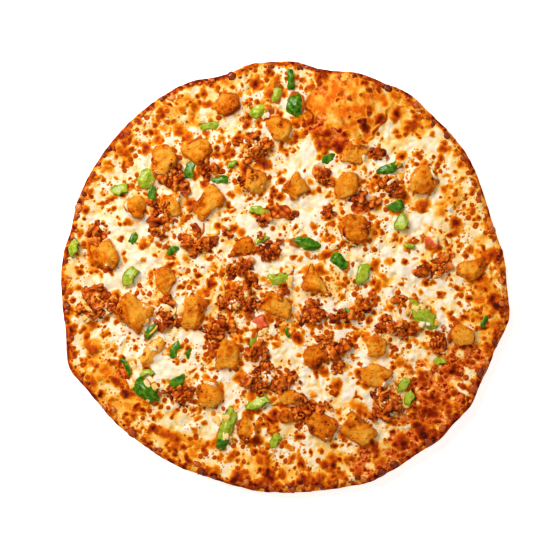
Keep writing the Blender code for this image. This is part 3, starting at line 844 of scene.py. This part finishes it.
def paint_cheese(footprints, rng):
    """The maps that shape and colour the cheese: its relief in metres, and what its material reads."""
    inset = inset_of(MAP_X, MAP_Y)
    white = patch_map(WHITE_PATCHES)
    fields = CRUMB_FIELDS[:-1]
    fields = [Patch(field.x, field.y, 0.8 * field.half_x, 0.8 * field.half_y, 1) for field in fields]
    crumbly = patch_map(fields) * (1 - white)
    bubble = smooth_step(patch_map([LARGE_BUBBLE], 0.12), 0.02, 0.4)
    fold = 4 * bubble * (1 - bubble)
    # The sauce map also holds the painted shadow along the large bubble's lower left foot.
    sauce = patch_map(SAUCE_AND_SHADOW_PATCHES) * np.clip(1 + 1.4 * map_noise(6 * MM, 99, 3), 0, 1.5)
    sauce = np.maximum(sauce, bubble * np.clip(1.1 * map_noise(5 * MM, 95, 3), 0, 0.5))
    away = np.arctan2(MAP_Y, MAP_X) - math.radians(FRIED_SIDE)
    fry = 0.62 + 0.38 * np.cos(away)
    rim = smooth_step(-inset + 9 * MM * map_noise(14 * MM, 5), -34 * MM, -6 * MM) * (0.45 + 0.55 * fry)
    mellow = np.clip(0.03 + 0.26 * map_noise(11 * MM, 9, 3), 0, 1) * (1 - white)
    mottled = np.clip(0.62 + 0.9 * map_noise(8 * MM, 6, 3), 0, 1.2)
    gold = np.maximum(patch_map(GOLD_PATCHES) * np.maximum(bubble, mottled), 0.4 * rim * mottled)
    gold = np.maximum(gold * (1 - 0.5 * white), mellow)
    clumps = map_noise(17 * MM, 8, 3)
    toast, blister = toasted_spots(footprints, rim, clumps, white, bubble, rng)
    near_edge = smooth_step(-inset, -(6 + 12 * fry) * MM, -2 * MM)
    crusty = map_noise(6.5 * MM, 91, 3) + 0.62 * near_edge - 0.5
    fried = smooth_step(crusty, 0, 0.32) * near_edge**0.5 * (0.78 + 0.4 * map_noise(2.4 * MM, 93, 2))
    fried *= 1 - bubble
    toast = np.maximum(toast, fried)
    toast = np.maximum(toast, fold * np.clip(0.45 + 1.2 * map_noise(9 * MM, 94, 3), 0, 0.85))
    blister += 0.9 * MM * fried
    shreds = loose_shreds(rng)

    lobes = np.abs(map_noise(10 * MM, 12, 3)) ** 0.6
    relief = 0.45 * MM * map_noise(22 * MM, 11) + 2.3 * MM * lobes - 0.8 * MM
    relief *= 1 - 0.55 * rim
    minced = np.abs(map_noise(3.2 * MM, 14, 2)) ** 0.7
    relief += 0.8 * MM * white + blister + 0.9 * MM * shreds * (1 - 0.4 * white)
    relief *= 1 - 0.65 * bubble
    # More golden in the hollows of the relief: painted warm shade there, with sauce showing between the
    # shreds.
    crease = blurred(relief, 5) - relief
    gold += 0.34 * smooth_step(crease, 0.15 * MM, 0.8 * MM) * (1 - 0.6 * white)
    gold = np.maximum(gold * (1 - bubble), bubble * (0.77 + 0.5 * map_noise(5 * MM, 97, 4)))
    relief += 1.5 * MM * bubble * (np.abs(map_noise(6 * MM, 98, 3)) ** 0.6 - 0.4) + 0.9 * MM * fold
    gold = np.maximum(gold, smooth_step(sauce, 0.15, 0.6) * (0.5 + 0.5 * mottled))
    gold = np.maximum(gold, 0.42 * crumbly * mottled)
    relief += (0.8 + 1.6 * minced) * MM * crumbly
    ragged = footprints + 0.8 * MM * map_noise(5 * MM, 17, 2)
    relief += 2.2 * MM * np.exp(-np.maximum(ragged, 0) / (1.9 * MM))
    specks = np.clip(0.58 + 1.0 * clumps + 0.3 * rim - 0.6 * white, 0, 1) * (1 - 0.45 * bubble)
    # Strongest right beside each topping: painted contact shade, with some grease.
    grease_and_contact_shade = np.exp(-np.maximum(footprints, 0) / (1.3 * MM))
    meat = np.clip(crumbly * 1.3 + 0.5 * map_noise(7 * MM, 15, 3) - 0.25, 0, 1)
    return {
        "relief": relief,
        "toast": toast * (1 - 0.7 * meat),
        "gold": gold,
        "sauce": sauce,
        "specks": specks,
        "grease_and_contact_shade": grease_and_contact_shade,
        "meat": meat,
        "knobs": minced,
        "edge": smooth_step(-inset, -5 * MM, -2 * MM),
    }


def drape_cheese(cheese_top, tops, footprints, maps):
    """Lets the cheese climb over the toppings in uneven tongues, mostly over their edges."""
    edge = np.exp(-((np.minimum(footprints, 0) / (3.2 * MM)) ** 2))
    shy = 0.42 * (footprint_map(CHICKEN, 2 * MM) < 0) + 1.2 * (footprint_map(PEPPER + YELLOW, 2 * MM) < 0)
    tongue = smooth_step(map_noise(8 * MM, 77, 3) + 0.62 * edge - 0.5 - shy, 0.0, 0.22)
    over = np.where(tops > 0, tops + 1.3 * MM, cheese_top)
    spread = blurred(tongue, 2)
    maps["grease_and_contact_shade"] *= 1 - smooth_step(spread, 0.05, 0.4)
    maps["meat"] *= 1 - smooth_step(spread, 0.1, 0.5) * (footprints < 1 * MM)
    return blurred(cheese_top + tongue * np.maximum(0, over - cheese_top), 0.9)


def make_cheese(cheese_top, maps, material):
    """The melted layer: a fine net over the dough, its fried skirt over the edge, and a plain underside."""
    share, angle, triangles = round_net(CHEESE_RINGS)
    ragged = np.column_stack([np.cos(angle), np.sin(angle), np.zeros(len(angle))]) * 178 * MM
    lobes = 1.0 * MM * fractal(ragged, 9 * MM, 21, 2)
    radius = outline_radius(angle)
    top_reach = radius - 1.6 * MM + lobes
    x, y = around(share * top_reach, angle)
    z = read_map(cheese_top, x, y)
    z -= 1.6 * MM * smooth_step(share * top_reach, radius - 7 * MM, radius - 1 * MM)
    points = [np.column_stack([x, y, z])]
    rim_count = 6 * CHEESE_RINGS
    rim_start = len(x) - rim_count
    rim_angle = angle[rim_start:]
    rim_radius = radius[rim_start:]
    rim_lobes = lobes[rim_start:]
    rim_height = z[rim_start:]
    drip = 2.6 * MM + 1.9 * MM * fractal(ragged[rim_start:], 7 * MM, 33, 2)
    skirt = [
        (-0.5 * MM + 0.9 * rim_lobes, rim_height - 0.5 * MM),
        (0.4 * MM + 0.7 * rim_lobes, rim_height - 1.6 * MM),
        (0.7 * MM + 0.4 * rim_lobes, rim_height - 1.6 * MM - 0.5 * drip),
        (0.4 * MM + 0.2 * rim_lobes, rim_height - 1.6 * MM - drip),
        (-1.5 * MM, rim_height - 1.8 * MM - drip),
        (-5 * MM, np.full(rim_count, 15.35 * MM)),
        (-10 * MM, np.full(rim_count, 14.75 * MM)),
        (-16 * MM, np.full(rim_count, 12.8 * MM)),
    ]
    start = rim_start
    faces = [triangles]
    total = len(x)
    for reach, height in skirt:
        points.append(np.column_stack([*around(rim_radius + reach, rim_angle), height]))
        faces.append(band(start, total, rim_count))
        start = total
        total += rim_count
    points = np.concatenate(points)
    under = np.array([[MIDDLE_X, MIDDLE_Y, 12.8 * MM]])
    faces.append(fan(start, rim_count, total)[:, ::-1])
    points = np.concatenate([points, under])
    values = {}
    for key in SURFACE_VALUES:
        values[key] = read_map(maps[key], points[:, 0], points[:, 1])
    edge = smooth_step(-inset_of(points[:, 0], points[:, 1]), -6 * MM, -0.4 * MM)
    patchy = 0.5 + 0.8 * fractal(points, 5 * MM, 51, 3)
    values["toast"] = np.maximum(values["toast"], edge * np.clip(0.1 + 0.9 * patchy, 0, 1))
    values["gold"] = np.maximum(values["gold"], 0.75 * edge)
    add_piece("melted_cheese_layer", points, np.concatenate(faces), material, values, "cheese")


# The dough


def make_crust(material):
    """The dough with a baked side, wrinkled and pitted, on a flat underside."""
    share, angle, triangles = round_net(CRUST_RINGS)
    tree = node_tree(["crust"])
    count = 6 * CRUST_RINGS
    rim_start = len(share) - count
    rim_angle = angle[rim_start:]
    heights = np.array([0.0, 0.5, 1.6, 3, 4.5, 6, 7.5, 9, 10.5, 12, 13.2, 14.2, 14.9]) * MM
    rings = []
    for height in heights:
        level = max(height, 0.05 * MM)
        reach = []
        for turn in rim_angle:
            outward = Vector((math.cos(turn), math.sin(turn), 0))
            start = Vector((MIDDLE_X, MIDDLE_Y, level)) + outward * 0.25
            reach.append(0.25 - tree.ray_cast(start, -outward)[3])
        rings.append(np.array(reach))
    base = share * rings[0][np.round(angle / math.tau * count).astype(int) % count]
    x, y = around(base, angle)
    flat = np.column_stack([x, y, np.zeros(len(x))])
    hollow = np.maximum(0, fractal(flat, 9 * MM, 61, 3) - 0.25)
    z = 0.9 * MM * hollow * smooth_step(1 - share, 0.01, 0.06)
    points = [np.column_stack([x, y, z])]
    bakes = [0.5 + 0.3 * fractal(flat, 30 * MM, 62, 3) + 0.2 * smooth_step(share, 0.85, 1.0)]
    faces = [triangles[:, ::-1]]
    start = rim_start
    total = len(x)
    for height, reach in zip(heights[1:], rings[1:]):
        ring = np.column_stack([reach * np.cos(rim_angle), reach * np.sin(rim_angle), np.full(count, height)])
        wrinkle = 0.7 * MM * fractal(ring, 13 * MM, 63, 3)
        wrinkle += 0.5 * MM * fractal(ring * (1, 1, 2.2), 5 * MM, 64, 2)
        wrinkle *= smooth_step(height, 0, 2 * MM)
        points.append(np.column_stack([*around(reach + wrinkle, rim_angle), np.full(count, height)]))
        low = 1 - smooth_step(height, 0, 6 * MM)
        high = smooth_step(height, 9 * MM, 14 * MM)
        bakes.append(np.full(count, 0.38 + 0.28 * low + 0.3 * high))
        faces.append(band(start, total, count)[:, ::-1])
        start = total
        total += count
    points = np.concatenate([*points, [[MIDDLE_X, MIDDLE_Y, 12.4 * MM]]])
    bakes.append(np.array([0.3]))
    faces.append(fan(start, count, total))
    values = {"bake": np.concatenate(bakes)}
    add_piece("baked_crust", points, np.concatenate(faces), material, values, "crust")


# Pieces that stand for one node each


def remeshed(name, voxel):
    """The corners, outward directions, edges and faces of a node's shape in small even quads."""
    source = bpy.data.meshes.new(name + "_fine")
    shape = bmesh.new()
    shape.from_mesh(NODES[name].data)
    bmesh.ops.remove_doubles(shape, verts=shape.verts[:], dist=0.01 * MM)
    shape.to_mesh(source)
    shape.free()
    carrier = new_object(name + "_fine", source)
    remesh = carrier.modifiers.new("Even", "REMESH")
    remesh.mode = "VOXEL"
    remesh.voxel_size = voxel
    even = carrier.evaluated_get(bpy.context.evaluated_depsgraph_get()).to_mesh()
    points = np.array([vertex.co for vertex in even.vertices])
    normals = np.array([vertex.normal for vertex in even.vertices])
    edges = np.array([edge.vertices for edge in even.edges])
    faces = np.array([polygon.vertices for polygon in even.polygons])
    bpy.data.objects.remove(carrier)
    return points, normals, edges, faces


def neighbour_mean(values, edges):
    """The mean of each corner's neighbours."""
    total = np.zeros(values.shape)
    count = np.zeros(len(values))
    for near, far in ((0, 1), (1, 0)):
        np.add.at(total, edges[:, near], values[edges[:, far]])
        np.add.at(count, edges[:, near], 1)
    return total / np.maximum(count, 1).reshape([-1] + [1] * (values.ndim - 1))


def edge_sharpness(points, normals, edges):
    """How far each corner stands out from its neighbours: over 0 on an edge, under 0 in a crease."""
    bulge = ((points - neighbour_mean(points, edges)) * normals).sum(axis=1)
    for _ in range(2):
        bulge = neighbour_mean(bulge, edges)
    return bulge


def facet(points, middle, direction, share):
    """Cuts a shape back to a plane that leaves a share of its reach in one direction."""
    away = (points - middle) @ direction
    over = np.maximum(0, away - share * away.max())
    return points - direction * over[:, None]


# Chicken pieces that roasted darker than the rest, and by how much
DARK_CHICKEN = {
    "chicken_01": 0.25,
    "chicken_12": 0.25,
    "chicken_14": 0.3,
    "chicken_19": 0.1,
    "chicken_26": 0.25,
    "chicken_32": 0.2,
}


def make_chicken(name, number, material):
    """A roast piece: torn facets, fibres and pits on the node's own shape."""
    rng = np.random.default_rng(100 + number)
    points, normals, edges, faces = remeshed(name, CHUNK_VOXEL)
    low, high = points.min(axis=0), points.max(axis=0)
    middle = (low + high) / 2
    torn = [fractal(points * (1, 1, 0.4), 9 * MM, number + shift, 2) for shift in (51, 57, 63)]
    points = points + np.column_stack(torn) * (1.6 * MM, 1.6 * MM, 0.9 * MM)
    for _ in range(14):
        heading = rng.uniform(0, math.tau)
        rise = rng.choice([rng.uniform(-0.1, 0.4), rng.uniform(0.6, 3.0)])
        direction = np.array([math.cos(heading), math.sin(heading), rise])
        direction /= np.linalg.norm(direction)
        share = rng.uniform(0.8, 0.93) if rise > 0.5 else rng.uniform(0.93, 1.0)
        points = facet(points, middle, direction, share)
    points = middle + (points - middle) * (1.05, 1.05, 1.0)
    bow = fractal(points, 11 * MM, number, 2)
    lumps = fractal(points, 5 * MM, number + 7, 3)
    grain = rng.uniform(0, math.pi)
    along = np.array([math.cos(grain), math.sin(grain), 0.3])
    along /= np.linalg.norm(along)
    stretched = points - np.outer(points @ along, along) * 0.78
    fibres = fractal(stretched, 2.2 * MM, number + 13, 2)
    pits = np.maximum(0, noise(points, 3.6 * MM, number + 19) - 0.42)
    offset = 0.7 * MM * bow + 0.4 * MM * lumps + 0.34 * MM * fibres - 1.6 * MM * pits
    above = smooth_step(points[:, 2], low[2], low[2] + 2.5 * MM)
    shaped = points + normals * (offset * (0.3 + 0.7 * above))[:, None]
    sharp = edge_sharpness(shaped, normals, edges)
    roast = DARK_CHICKEN.get(name, 0.0)
    side = rng.normal(size=3) * (1, 1, 0.3)
    side /= np.linalg.norm(side)
    lean = ((shaped - middle) @ side) / (high - low).max()
    # The pits are darkened as well as cut in: painted shade in them.
    tone = 0.98 - roast + 0.26 * lean + 0.18 * fibres - 0.9 * pits
    tone -= 0.42 * smooth_step(fractal(points, 9 * MM, number + 23, 3), 0.1, 0.7)
    tone -= np.clip(sharp / (0.05 * MM), -0.6, 1) * 0.2
    # Darker over the lowest few mm: painted shade on the lower sides, next to the cheese.
    tone -= 0.3 * (1 - smooth_step(points[:, 2], low[2] + 0.5 * MM, low[2] + 4.5 * MM))
    add_piece("roast_" + name, shaped, faces, material, {"tone": tone}, name)


# Pepper strips whose pale inner side is up
FLESH_UP = {"pepper_01", "pepper_04", "pepper_05", "pepper_09", "pepper_12", "pepper_13"}


def make_pepper(name, number, material):
    """A cut of pepper wall with a waxy side, a ribbed wet side and soft edges."""
    points, normals, edges, faces = remeshed(name, PEPPER_VOXEL)
    low, high = points.min(axis=0), points.max(axis=0)
    ribs = fractal(points, 4 * MM, number + 31, 2)
    flesh_up = name in FLESH_UP
    depth = (0.55 if flesh_up else 0.25) * MM
    outline = [fractal(points * (1, 1, 0.3), 6 * MM, number + shift, 3) for shift in (37, 41)]
    torn = np.column_stack([*outline, np.zeros(len(points))])
    shaped = points + normals * (depth * ribs)[:, None] + 1.1 * MM * torn
    upward = smooth_step(normals[:, 2], 0.15, 0.6)
    skin = 1 - upward if flesh_up else 0.2 + 0.8 * upward
    if name == "pepper_12":
        skin = np.maximum(skin, smooth_step(-shaped[:, 1], -low[1] - 12 * MM, -low[1] - 7 * MM))
    add_piece("cooked_" + name, shaped, faces, material, {"skin": skin}, name)


def make_tomato(name, number, material):
    """A dice of tomato, slumped and wet."""
    points, normals, _, faces = remeshed(name, PEPPER_VOXEL)
    lumps = fractal(points, 5 * MM, number + 43, 3)
    shaped = points + normals * (0.6 * MM * lumps)[:, None]
    add_piece("cooked_" + name, shaped, faces, material, {}, name)


def make_sausage(name, number, material):
    """A heap of minced lumps that fills the node's own outline."""
    rng = np.random.default_rng(300 + number)
    low, high = (np.array(corner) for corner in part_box(name))
    middle = (low[2] + high[2]) / 2
    tree = node_tree([name])
    heap = Heap()
    area = (high[0] - low[0]) * (high[1] - low[1])
    for _ in range(int(area / (8 * MM * MM))):
        x = rng.uniform(low[0], high[0])
        y = rng.uniform(low[1], high[1])
        hit = hit_from_above(tree, x, y)
        if not hit:
            continue
        size = rng.uniform(4.6, 9.4) * MM
        lump, faces, knobs = minced_lump(rng, 4 if size > 7 * MM else 3)
        half = size / 2 * rng.uniform(0.75, 1.25, 3)
        centre = np.array([x, y, hit.z - 0.3 * size])
        placed = (lump * half) @ random_turn(rng).T + centre
        # Lighter on the raised knobs and higher up, darker between the knobs and low in the heap: painted
        # light and shade.
        tone = 0.22 + 0.62 * knobs + rng.uniform(-0.16, 0.22)
        tone -= 0.3 * (1 - smooth_step(placed[:, 2], middle - 2 * MM, high[2]))
        heap.add(placed, faces, tone=tone)
    heap.finish("minced_" + name, "sausage", material, name)


# Scattered small things, each kind one mesh


def surface_over(tree, cheese_top, x, y):
    """Height of what lies uppermost at a place, and whether that is a topping."""
    cheese = read_map(cheese_top, np.array([x]), np.array([y]))[0]
    hit = hit_from_above(tree, x, y)
    if hit and hit.z > cheese:
        return hit.z, True
    return cheese, False


def scatter_crumbs(tree, cheese_top, material, rng):
    heap = Heap()
    for field in CRUMB_FIELDS:
        for number in range(int(field.count * CRUMB_PLENTY)):
            if number % 7 == 0:
                turn = rng.uniform(0, math.tau)
                reach = math.sqrt(rng.random())
                clump_x = field.x + field.half_x * reach * math.cos(turn)
                clump_y = field.y + field.half_y * reach * math.sin(turn)
            x, y = at(*(rng.normal(scale=2.6, size=2) + (clump_x, clump_y)))
            height, on_topping = surface_over(tree, cheese_top, x, y)
            size = np.clip(rng.lognormal(math.log(5.5), 0.4), 2.2, 10.5) * MM
            if on_topping:
                size *= 0.55
            lump, faces, knobs = minced_lump(rng, 3 if size > 5.9 * MM else 2, 8, 0.14)
            half = size / 2 * rng.uniform(0.7, 1.5, 3)
            sink = rng.uniform(-0.1, 0.22) * size
            placed = (lump * half) @ random_turn(rng).T + np.array([x, y, height + sink])
            # Lighter on the knobs and higher up, darker low down by the cheese: painted light and shade.
            depth = smooth_step(placed[:, 2] - height, -0.1 * size, 0.4 * size)
            heap.add(placed, faces, tone=0.62 * knobs + rng.uniform(-0.14, 0.24) + 0.34 * depth - 0.1)
    heap.finish("loose_crumbs", "sausage", material)


def pepper_ribbon(cut, rng):
    """A small bent ribbon of pepper wall lying flat: its points, faces and where the skin is."""
    columns, rows = 22, 9
    along, across = np.meshgrid(np.linspace(-1, 1, columns), np.linspace(-1, 1, rows), indexing="ij")
    along, across = along.ravel(), across.ravel()
    curl = math.radians(cut.curl)
    radius = cut.length * MM / max(curl, 0.3)
    swing = along * curl / 2
    width = cut.width / 2 * MM * (1 - 0.12 * along**8)
    slant = rng.uniform(-0.3, 0.3) * cut.width * MM
    x = (radius + across * width) * np.sin(swing) + slant * across
    y = (radius + across * width) * np.cos(swing) - radius
    crown = 0.5 * MM * (1 - across * across) + 0.9 * MM * (1 - along * along)
    half_thick = 0.8 * MM * (1 - 0.3 * np.abs(across) ** 9) * (1 - 0.3 * np.abs(along) ** 9)
    upper = np.column_stack([x, y, crown + half_thick])
    lower = np.column_stack([x, y, crown - half_thick])
    here = (np.arange(columns - 1)[:, None] * rows + np.arange(rows - 1)).ravel()
    quads = np.column_stack([here, here + rows, here + rows + 1, here + 1])
    count = columns * rows
    border = list(range(rows)) + [k * rows + rows - 1 for k in range(1, columns)]
    border += [(columns - 1) * rows + k for k in range(rows - 2, -1, -1)]
    border += [k * rows for k in range(columns - 2, 0, -1)]
    loop = np.array(border)
    following = np.roll(loop, -1)
    sides = np.column_stack([loop, following, following + count, loop + count])
    faces = np.concatenate([quads, quads[:, ::-1] + count, sides])
    points = np.concatenate([upper, lower])
    flat = points * (1, 1, 0)
    seed = rng.integers(1, 999)
    ragged = np.column_stack([fractal(flat, 4.5 * MM, seed, 3), fractal(flat, 4.5 * MM, seed + 9, 3)])
    points[:, :2] += 1.1 * MM * ragged
    points[:, 2] += 0.5 * MM * noise(flat, 3 * MM, seed + 20)
    skin = np.concatenate([np.full(count, float(cut.skin)), np.full(count, 1.0 - cut.skin)])
    rim = np.concatenate([smooth_step(np.abs(across), 0.75, 1.0)] * 2)
    skin = skin * (1 - rim) + rim * (0.75 if cut.skin == 0 else 0.35)
    return points, faces, skin


def scatter_pepper_cuts(tree, cheese_top, material, rng):
    heap = Heap()
    for cut in PEPPER_CUTS:
        points, faces, skin = pepper_ribbon(cut, rng)
        lean = Matrix.Rotation(rng.uniform(-0.5, 0.5), 3, "X")
        turn = Matrix.Rotation(math.radians(cut.turn), 3, "Z") @ lean
        x, y = at(cut.x, cut.y)
        height = surface_over(tree, cheese_top, x, y)[0]
        placed = points @ np.array(turn).T + np.array([x, y, height - 0.3 * MM])
        heap.add(placed, faces, skin=skin)
    heap.finish("small_pepper_cuts", "pepper", material)


def scatter_beads(cheese_top, material, rng):
    """Beads of cheese fried brown along the rim."""
    heap = Heap()
    for number in range(RIM_BEADS):
        angle = math.tau * (number + rng.uniform(-0.45, 0.45)) / RIM_BEADS
        size = np.clip(rng.lognormal(math.log(3.0), 0.36), 1.6, 6.5) * MM
        radius = outline_radius(angle) - rng.uniform(0.8, 5.5) * MM - 0.25 * size
        x, y = around(radius, angle)
        height = read_map(cheese_top, np.array([x]), np.array([y]))[0] - 1.4 * MM
        ball, faces = BALLS[3]
        rough = 1 + 0.3 * noise(ball, 0.6, number + 1)
        half = size / 2 * np.array([rng.uniform(0.8, 1.2), rng.uniform(0.9, 1.5), 0.62])
        placed = (ball * rough[:, None] * half) @ np.array(Matrix.Rotation(angle, 3, "Z")).T
        placed += np.array([x, y, height + 0.1 * size])
        # Darker on the lower half of each bead: painted shade under it, with a random tone per bead.
        shade = rng.uniform(0.3, 0.95) - 0.15 * (1 - ball[:, 2])
        heap.add(placed, faces, shade=shade)
    heap.finish("rim_beads", "cheese", material)


def scatter_dabs(tree, cheese_top, material, rng):
    """Dabs of melted cheese that hold on to the tops and sides of the toppings."""
    heap = Heap()
    ball, faces = BALLS[3]
    boxes = [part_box(name) for name in SAUSAGE + TOMATO + PEPPER[3:]]
    centres = [(Vector(low) + Vector(high)) / 2 for low, high in boxes]
    for number in range(DAB_COUNT):
        centre = centres[rng.integers(len(centres))]
        reach = rng.uniform(6, 14) * MM
        turn = rng.uniform(0, math.tau)
        x = centre.x + reach * math.cos(turn)
        y = centre.y + reach * math.sin(turn)
        height = surface_over(tree, cheese_top, x, y)[0]
        size = rng.uniform(2.4, 6.8) * MM
        rough = 1 + 0.6 * fractal(ball * (1, 1, 0.3), 0.8, number + 5, 2)
        half = size / 2 * np.array([rng.uniform(0.8, 1.7), rng.uniform(0.6, 1.1), 0.3])
        spin = np.array(Matrix.Rotation(rng.uniform(0, math.tau), 3, "Z"))
        placed = (ball * rough[:, None] * half) @ spin.T + np.array([x, y, height + 0.1 * MM])
        toast = rng.uniform(-0.1, 0.7) * smooth_step(ball[:, 2], 0.2, 0.9)
        heap.add(placed, faces, **PLAIN_CHEESE | {"toast": toast, "gold": rng.uniform(0, 0.4)})
    heap.finish("cheese_dabs", "cheese", material)


def strand(points, half_width, sides=7):
    """A tapering tube along a list of points."""
    count = len(points)
    share = np.linspace(0, 1, count)
    reach = half_width * (0.45 + 0.55 * np.sin(math.pi * share) ** 0.5)
    heading = np.gradient(points, axis=0)
    heading /= np.linalg.norm(heading, axis=1)[:, None]
    sideways = np.cross(heading, (0, 0, 1))
    sideways /= np.maximum(np.linalg.norm(sideways, axis=1)[:, None], 1e-9)
    upward = np.cross(sideways, heading)
    turns = math.tau * np.arange(sides) / sides
    rings = []
    for k in range(count):
        ring = np.outer(np.cos(turns), sideways[k]) + 0.7 * np.outer(np.sin(turns), upward[k])
        ring = points[k] + reach[k] * ring
        rings.append(ring)
    corners = np.concatenate(rings + [points[:1], points[-1:]])
    faces = [band(k * sides, (k + 1) * sides, sides) for k in range(count - 1)]
    here = np.arange(sides)
    after = (here + 1) % sides
    faces.append(np.column_stack([here, after, np.full(sides, count * sides)]))
    last = (count - 1) * sides
    faces.append(np.column_stack([last + after, last + here, np.full(sides, count * sides + 1)]))
    return corners, np.concatenate(faces)


def scatter_strands(tree, cheese_top, material, rng):
    """Shreds of cheese that melted over the toppings."""
    heap = Heap()
    centres = [(Vector(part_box(name)[0]) + Vector(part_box(name)[1])) / 2 for name in SAUSAGE]
    for _ in range(STRAND_COUNT):
        centre = centres[rng.integers(len(centres))]
        turn = rng.uniform(0, math.tau)
        bend = rng.uniform(-0.3, 0.3)
        x = centre.x + rng.uniform(-9, 9) * MM
        y = centre.y + rng.uniform(-9, 9) * MM
        path = []
        for _ in range(rng.integers(8, 15)):
            path.append([x, y, surface_over(tree, cheese_top, x, y)[0] - 0.1 * MM])
            x += 1.2 * MM * math.cos(turn)
            y += 1.2 * MM * math.sin(turn)
            turn += bend
        path = np.array(path)
        for _ in range(3):
            path[1:-1, 2] = (path[:-2, 2] + path[1:-1, 2] + path[2:, 2]) / 3
        if inset_of(path[:, 0], path[:, 1]).min() < 10 * MM:
            continue
        corners, faces = strand(path, rng.uniform(1.0, 1.6) * MM)
        toast = np.clip(rng.normal(0.1, 0.25), 0, 0.6)
        heap.add(corners, faces, **PLAIN_CHEESE | {"toast": toast, "gold": rng.uniform(0, 0.5)})
    heap.finish("cheese_strands", "cheese", material)


def scatter_flecks(tree, cheese_top, material, rng):
    heap = Heap()
    ball, faces = BALLS[1]
    for _ in range(FLECK_COUNT):
        turn = rng.uniform(0, math.tau)
        reach = 160 * MM * math.sqrt(rng.random())
        x = reach * math.cos(turn)
        y = reach * math.sin(turn)
        height = surface_over(tree, cheese_top, x, y)[0]
        half = rng.uniform(0.18, 0.42) * MM * rng.uniform(0.6, 1.3, 3)
        heap.add((ball * half) @ random_turn(rng).T + np.array([x, y, height + 0.15 * MM]), faces, tone=0.0)
    heap.finish("pepper_flecks", "sausage", material)


# The set


def make_floor():
    """A plain white floor that the pizza lies on."""
    bpy.ops.mesh.primitive_plane_add(size=6, location=(0, 0, -0.1 * MM))
    floor = bpy.context.object
    floor.name = "floor"
    material = bpy.data.materials.new("floor_white")
    material.use_nodes = True
    surface = material.node_tree.nodes["Principled BSDF"]
    surface.inputs["Base Color"].default_value = (0.93, 0.93, 0.93, 1)
    surface.inputs["Roughness"].default_value = 0.9
    surface.inputs["Specular IOR Level"].default_value = 0.1
    surface.inputs["Emission Color"].default_value = (1, 1, 1, 1)
    surface.inputs["Emission Strength"].default_value = 0.5
    floor.data.materials.append(material)


def add_softbox(name, direction, distance, size, watts):
    """A square light that faces the pizza's middle from a direction."""
    data = bpy.data.lights.new(name, "AREA")
    data.size = size
    data.energy = watts
    lamp = new_object(name, data)
    heading = Vector(direction).normalized()
    lamp.location = heading * distance
    lamp.rotation_euler = heading.to_track_quat("Z", "Y").to_euler()


def light_scene():
    add_softbox("key", (-0.7, 0.75, 1.15), 1.3, 0.7, 14.6)
    add_softbox("fill", (0.5, -0.4, 1.2), 1.6, 1.2, 4)
    world = bpy.data.worlds.new("studio")
    world.use_nodes = True
    sky = world.node_tree.nodes["Background"]
    sky.inputs["Color"].default_value = (1, 0.95, 0.89, 1)
    sky.inputs["Strength"].default_value = 0.22
    bpy.context.scene.world = world
    bpy.context.scene.view_settings.view_transform = "Standard"
    bpy.context.scene.view_settings.look = "Medium High Contrast"


def make_camera():
    """Straight above, with the dough's middle where the photograph has it."""
    data = bpy.data.cameras.new("camera")
    data.lens = LENS_MM
    data.sensor_width = SENSOR_MM
    camera = new_object("camera", data)
    centre_px = PHOTO_WIDTH_PX / 2
    x = MIDDLE_X + (centre_px - DOUGH_MIDDLE_PX[0]) * METRES_PER_PX
    y = MIDDLE_Y + (DOUGH_MIDDLE_PX[1] - centre_px) * METRES_PER_PX
    distance = PHOTO_WIDTH_PX * METRES_PER_PX * LENS_MM / SENSOR_MM
    camera.location = (x, y, CHEESE_LEVEL + distance)
    bpy.context.scene.camera = camera


def dress_pizza():
    rng = np.random.default_rng(7)
    footprints = footprint_map(TOPPINGS, 12 * MM)
    tree = node_tree(TOPPINGS)
    maps = paint_cheese(footprints, rng)
    cheese_top = read_cheese_level(footprints) + maps["relief"]
    tops = read_topping_tops(tree, footprints)
    cheese_top = drape_cheese(cheese_top, tops, footprints, maps)
    cheese = cheese_material()
    make_cheese(cheese_top, maps, cheese)
    make_crust(crust_material())
    chicken = chicken_material()
    for number, name in enumerate(CHICKEN):
        make_chicken(name, number, chicken)
    sausage = sausage_material()
    for number, name in enumerate(SAUSAGE):
        make_sausage(name, number, sausage)
    pepper = pepper_material()
    for number, name in enumerate(PEPPER):
        make_pepper(name, number, pepper)
    make_pepper(YELLOW[0], 50, yellow_pepper_material())
    tomato = tomato_material()
    for number, name in enumerate(TOMATO):
        make_tomato(name, number, tomato)
    scatter_crumbs(tree, cheese_top, sausage, rng)
    scatter_pepper_cuts(tree, cheese_top, pepper, rng)
    scatter_beads(cheese_top, bead_material(), rng)
    scatter_dabs(tree, cheese_top, cheese, rng)
    scatter_strands(tree, cheese_top, cheese, rng)
    scatter_flecks(tree, cheese_top, fleck_material(), rng)


dress_pizza()
make_floor()
light_scene()
make_camera()
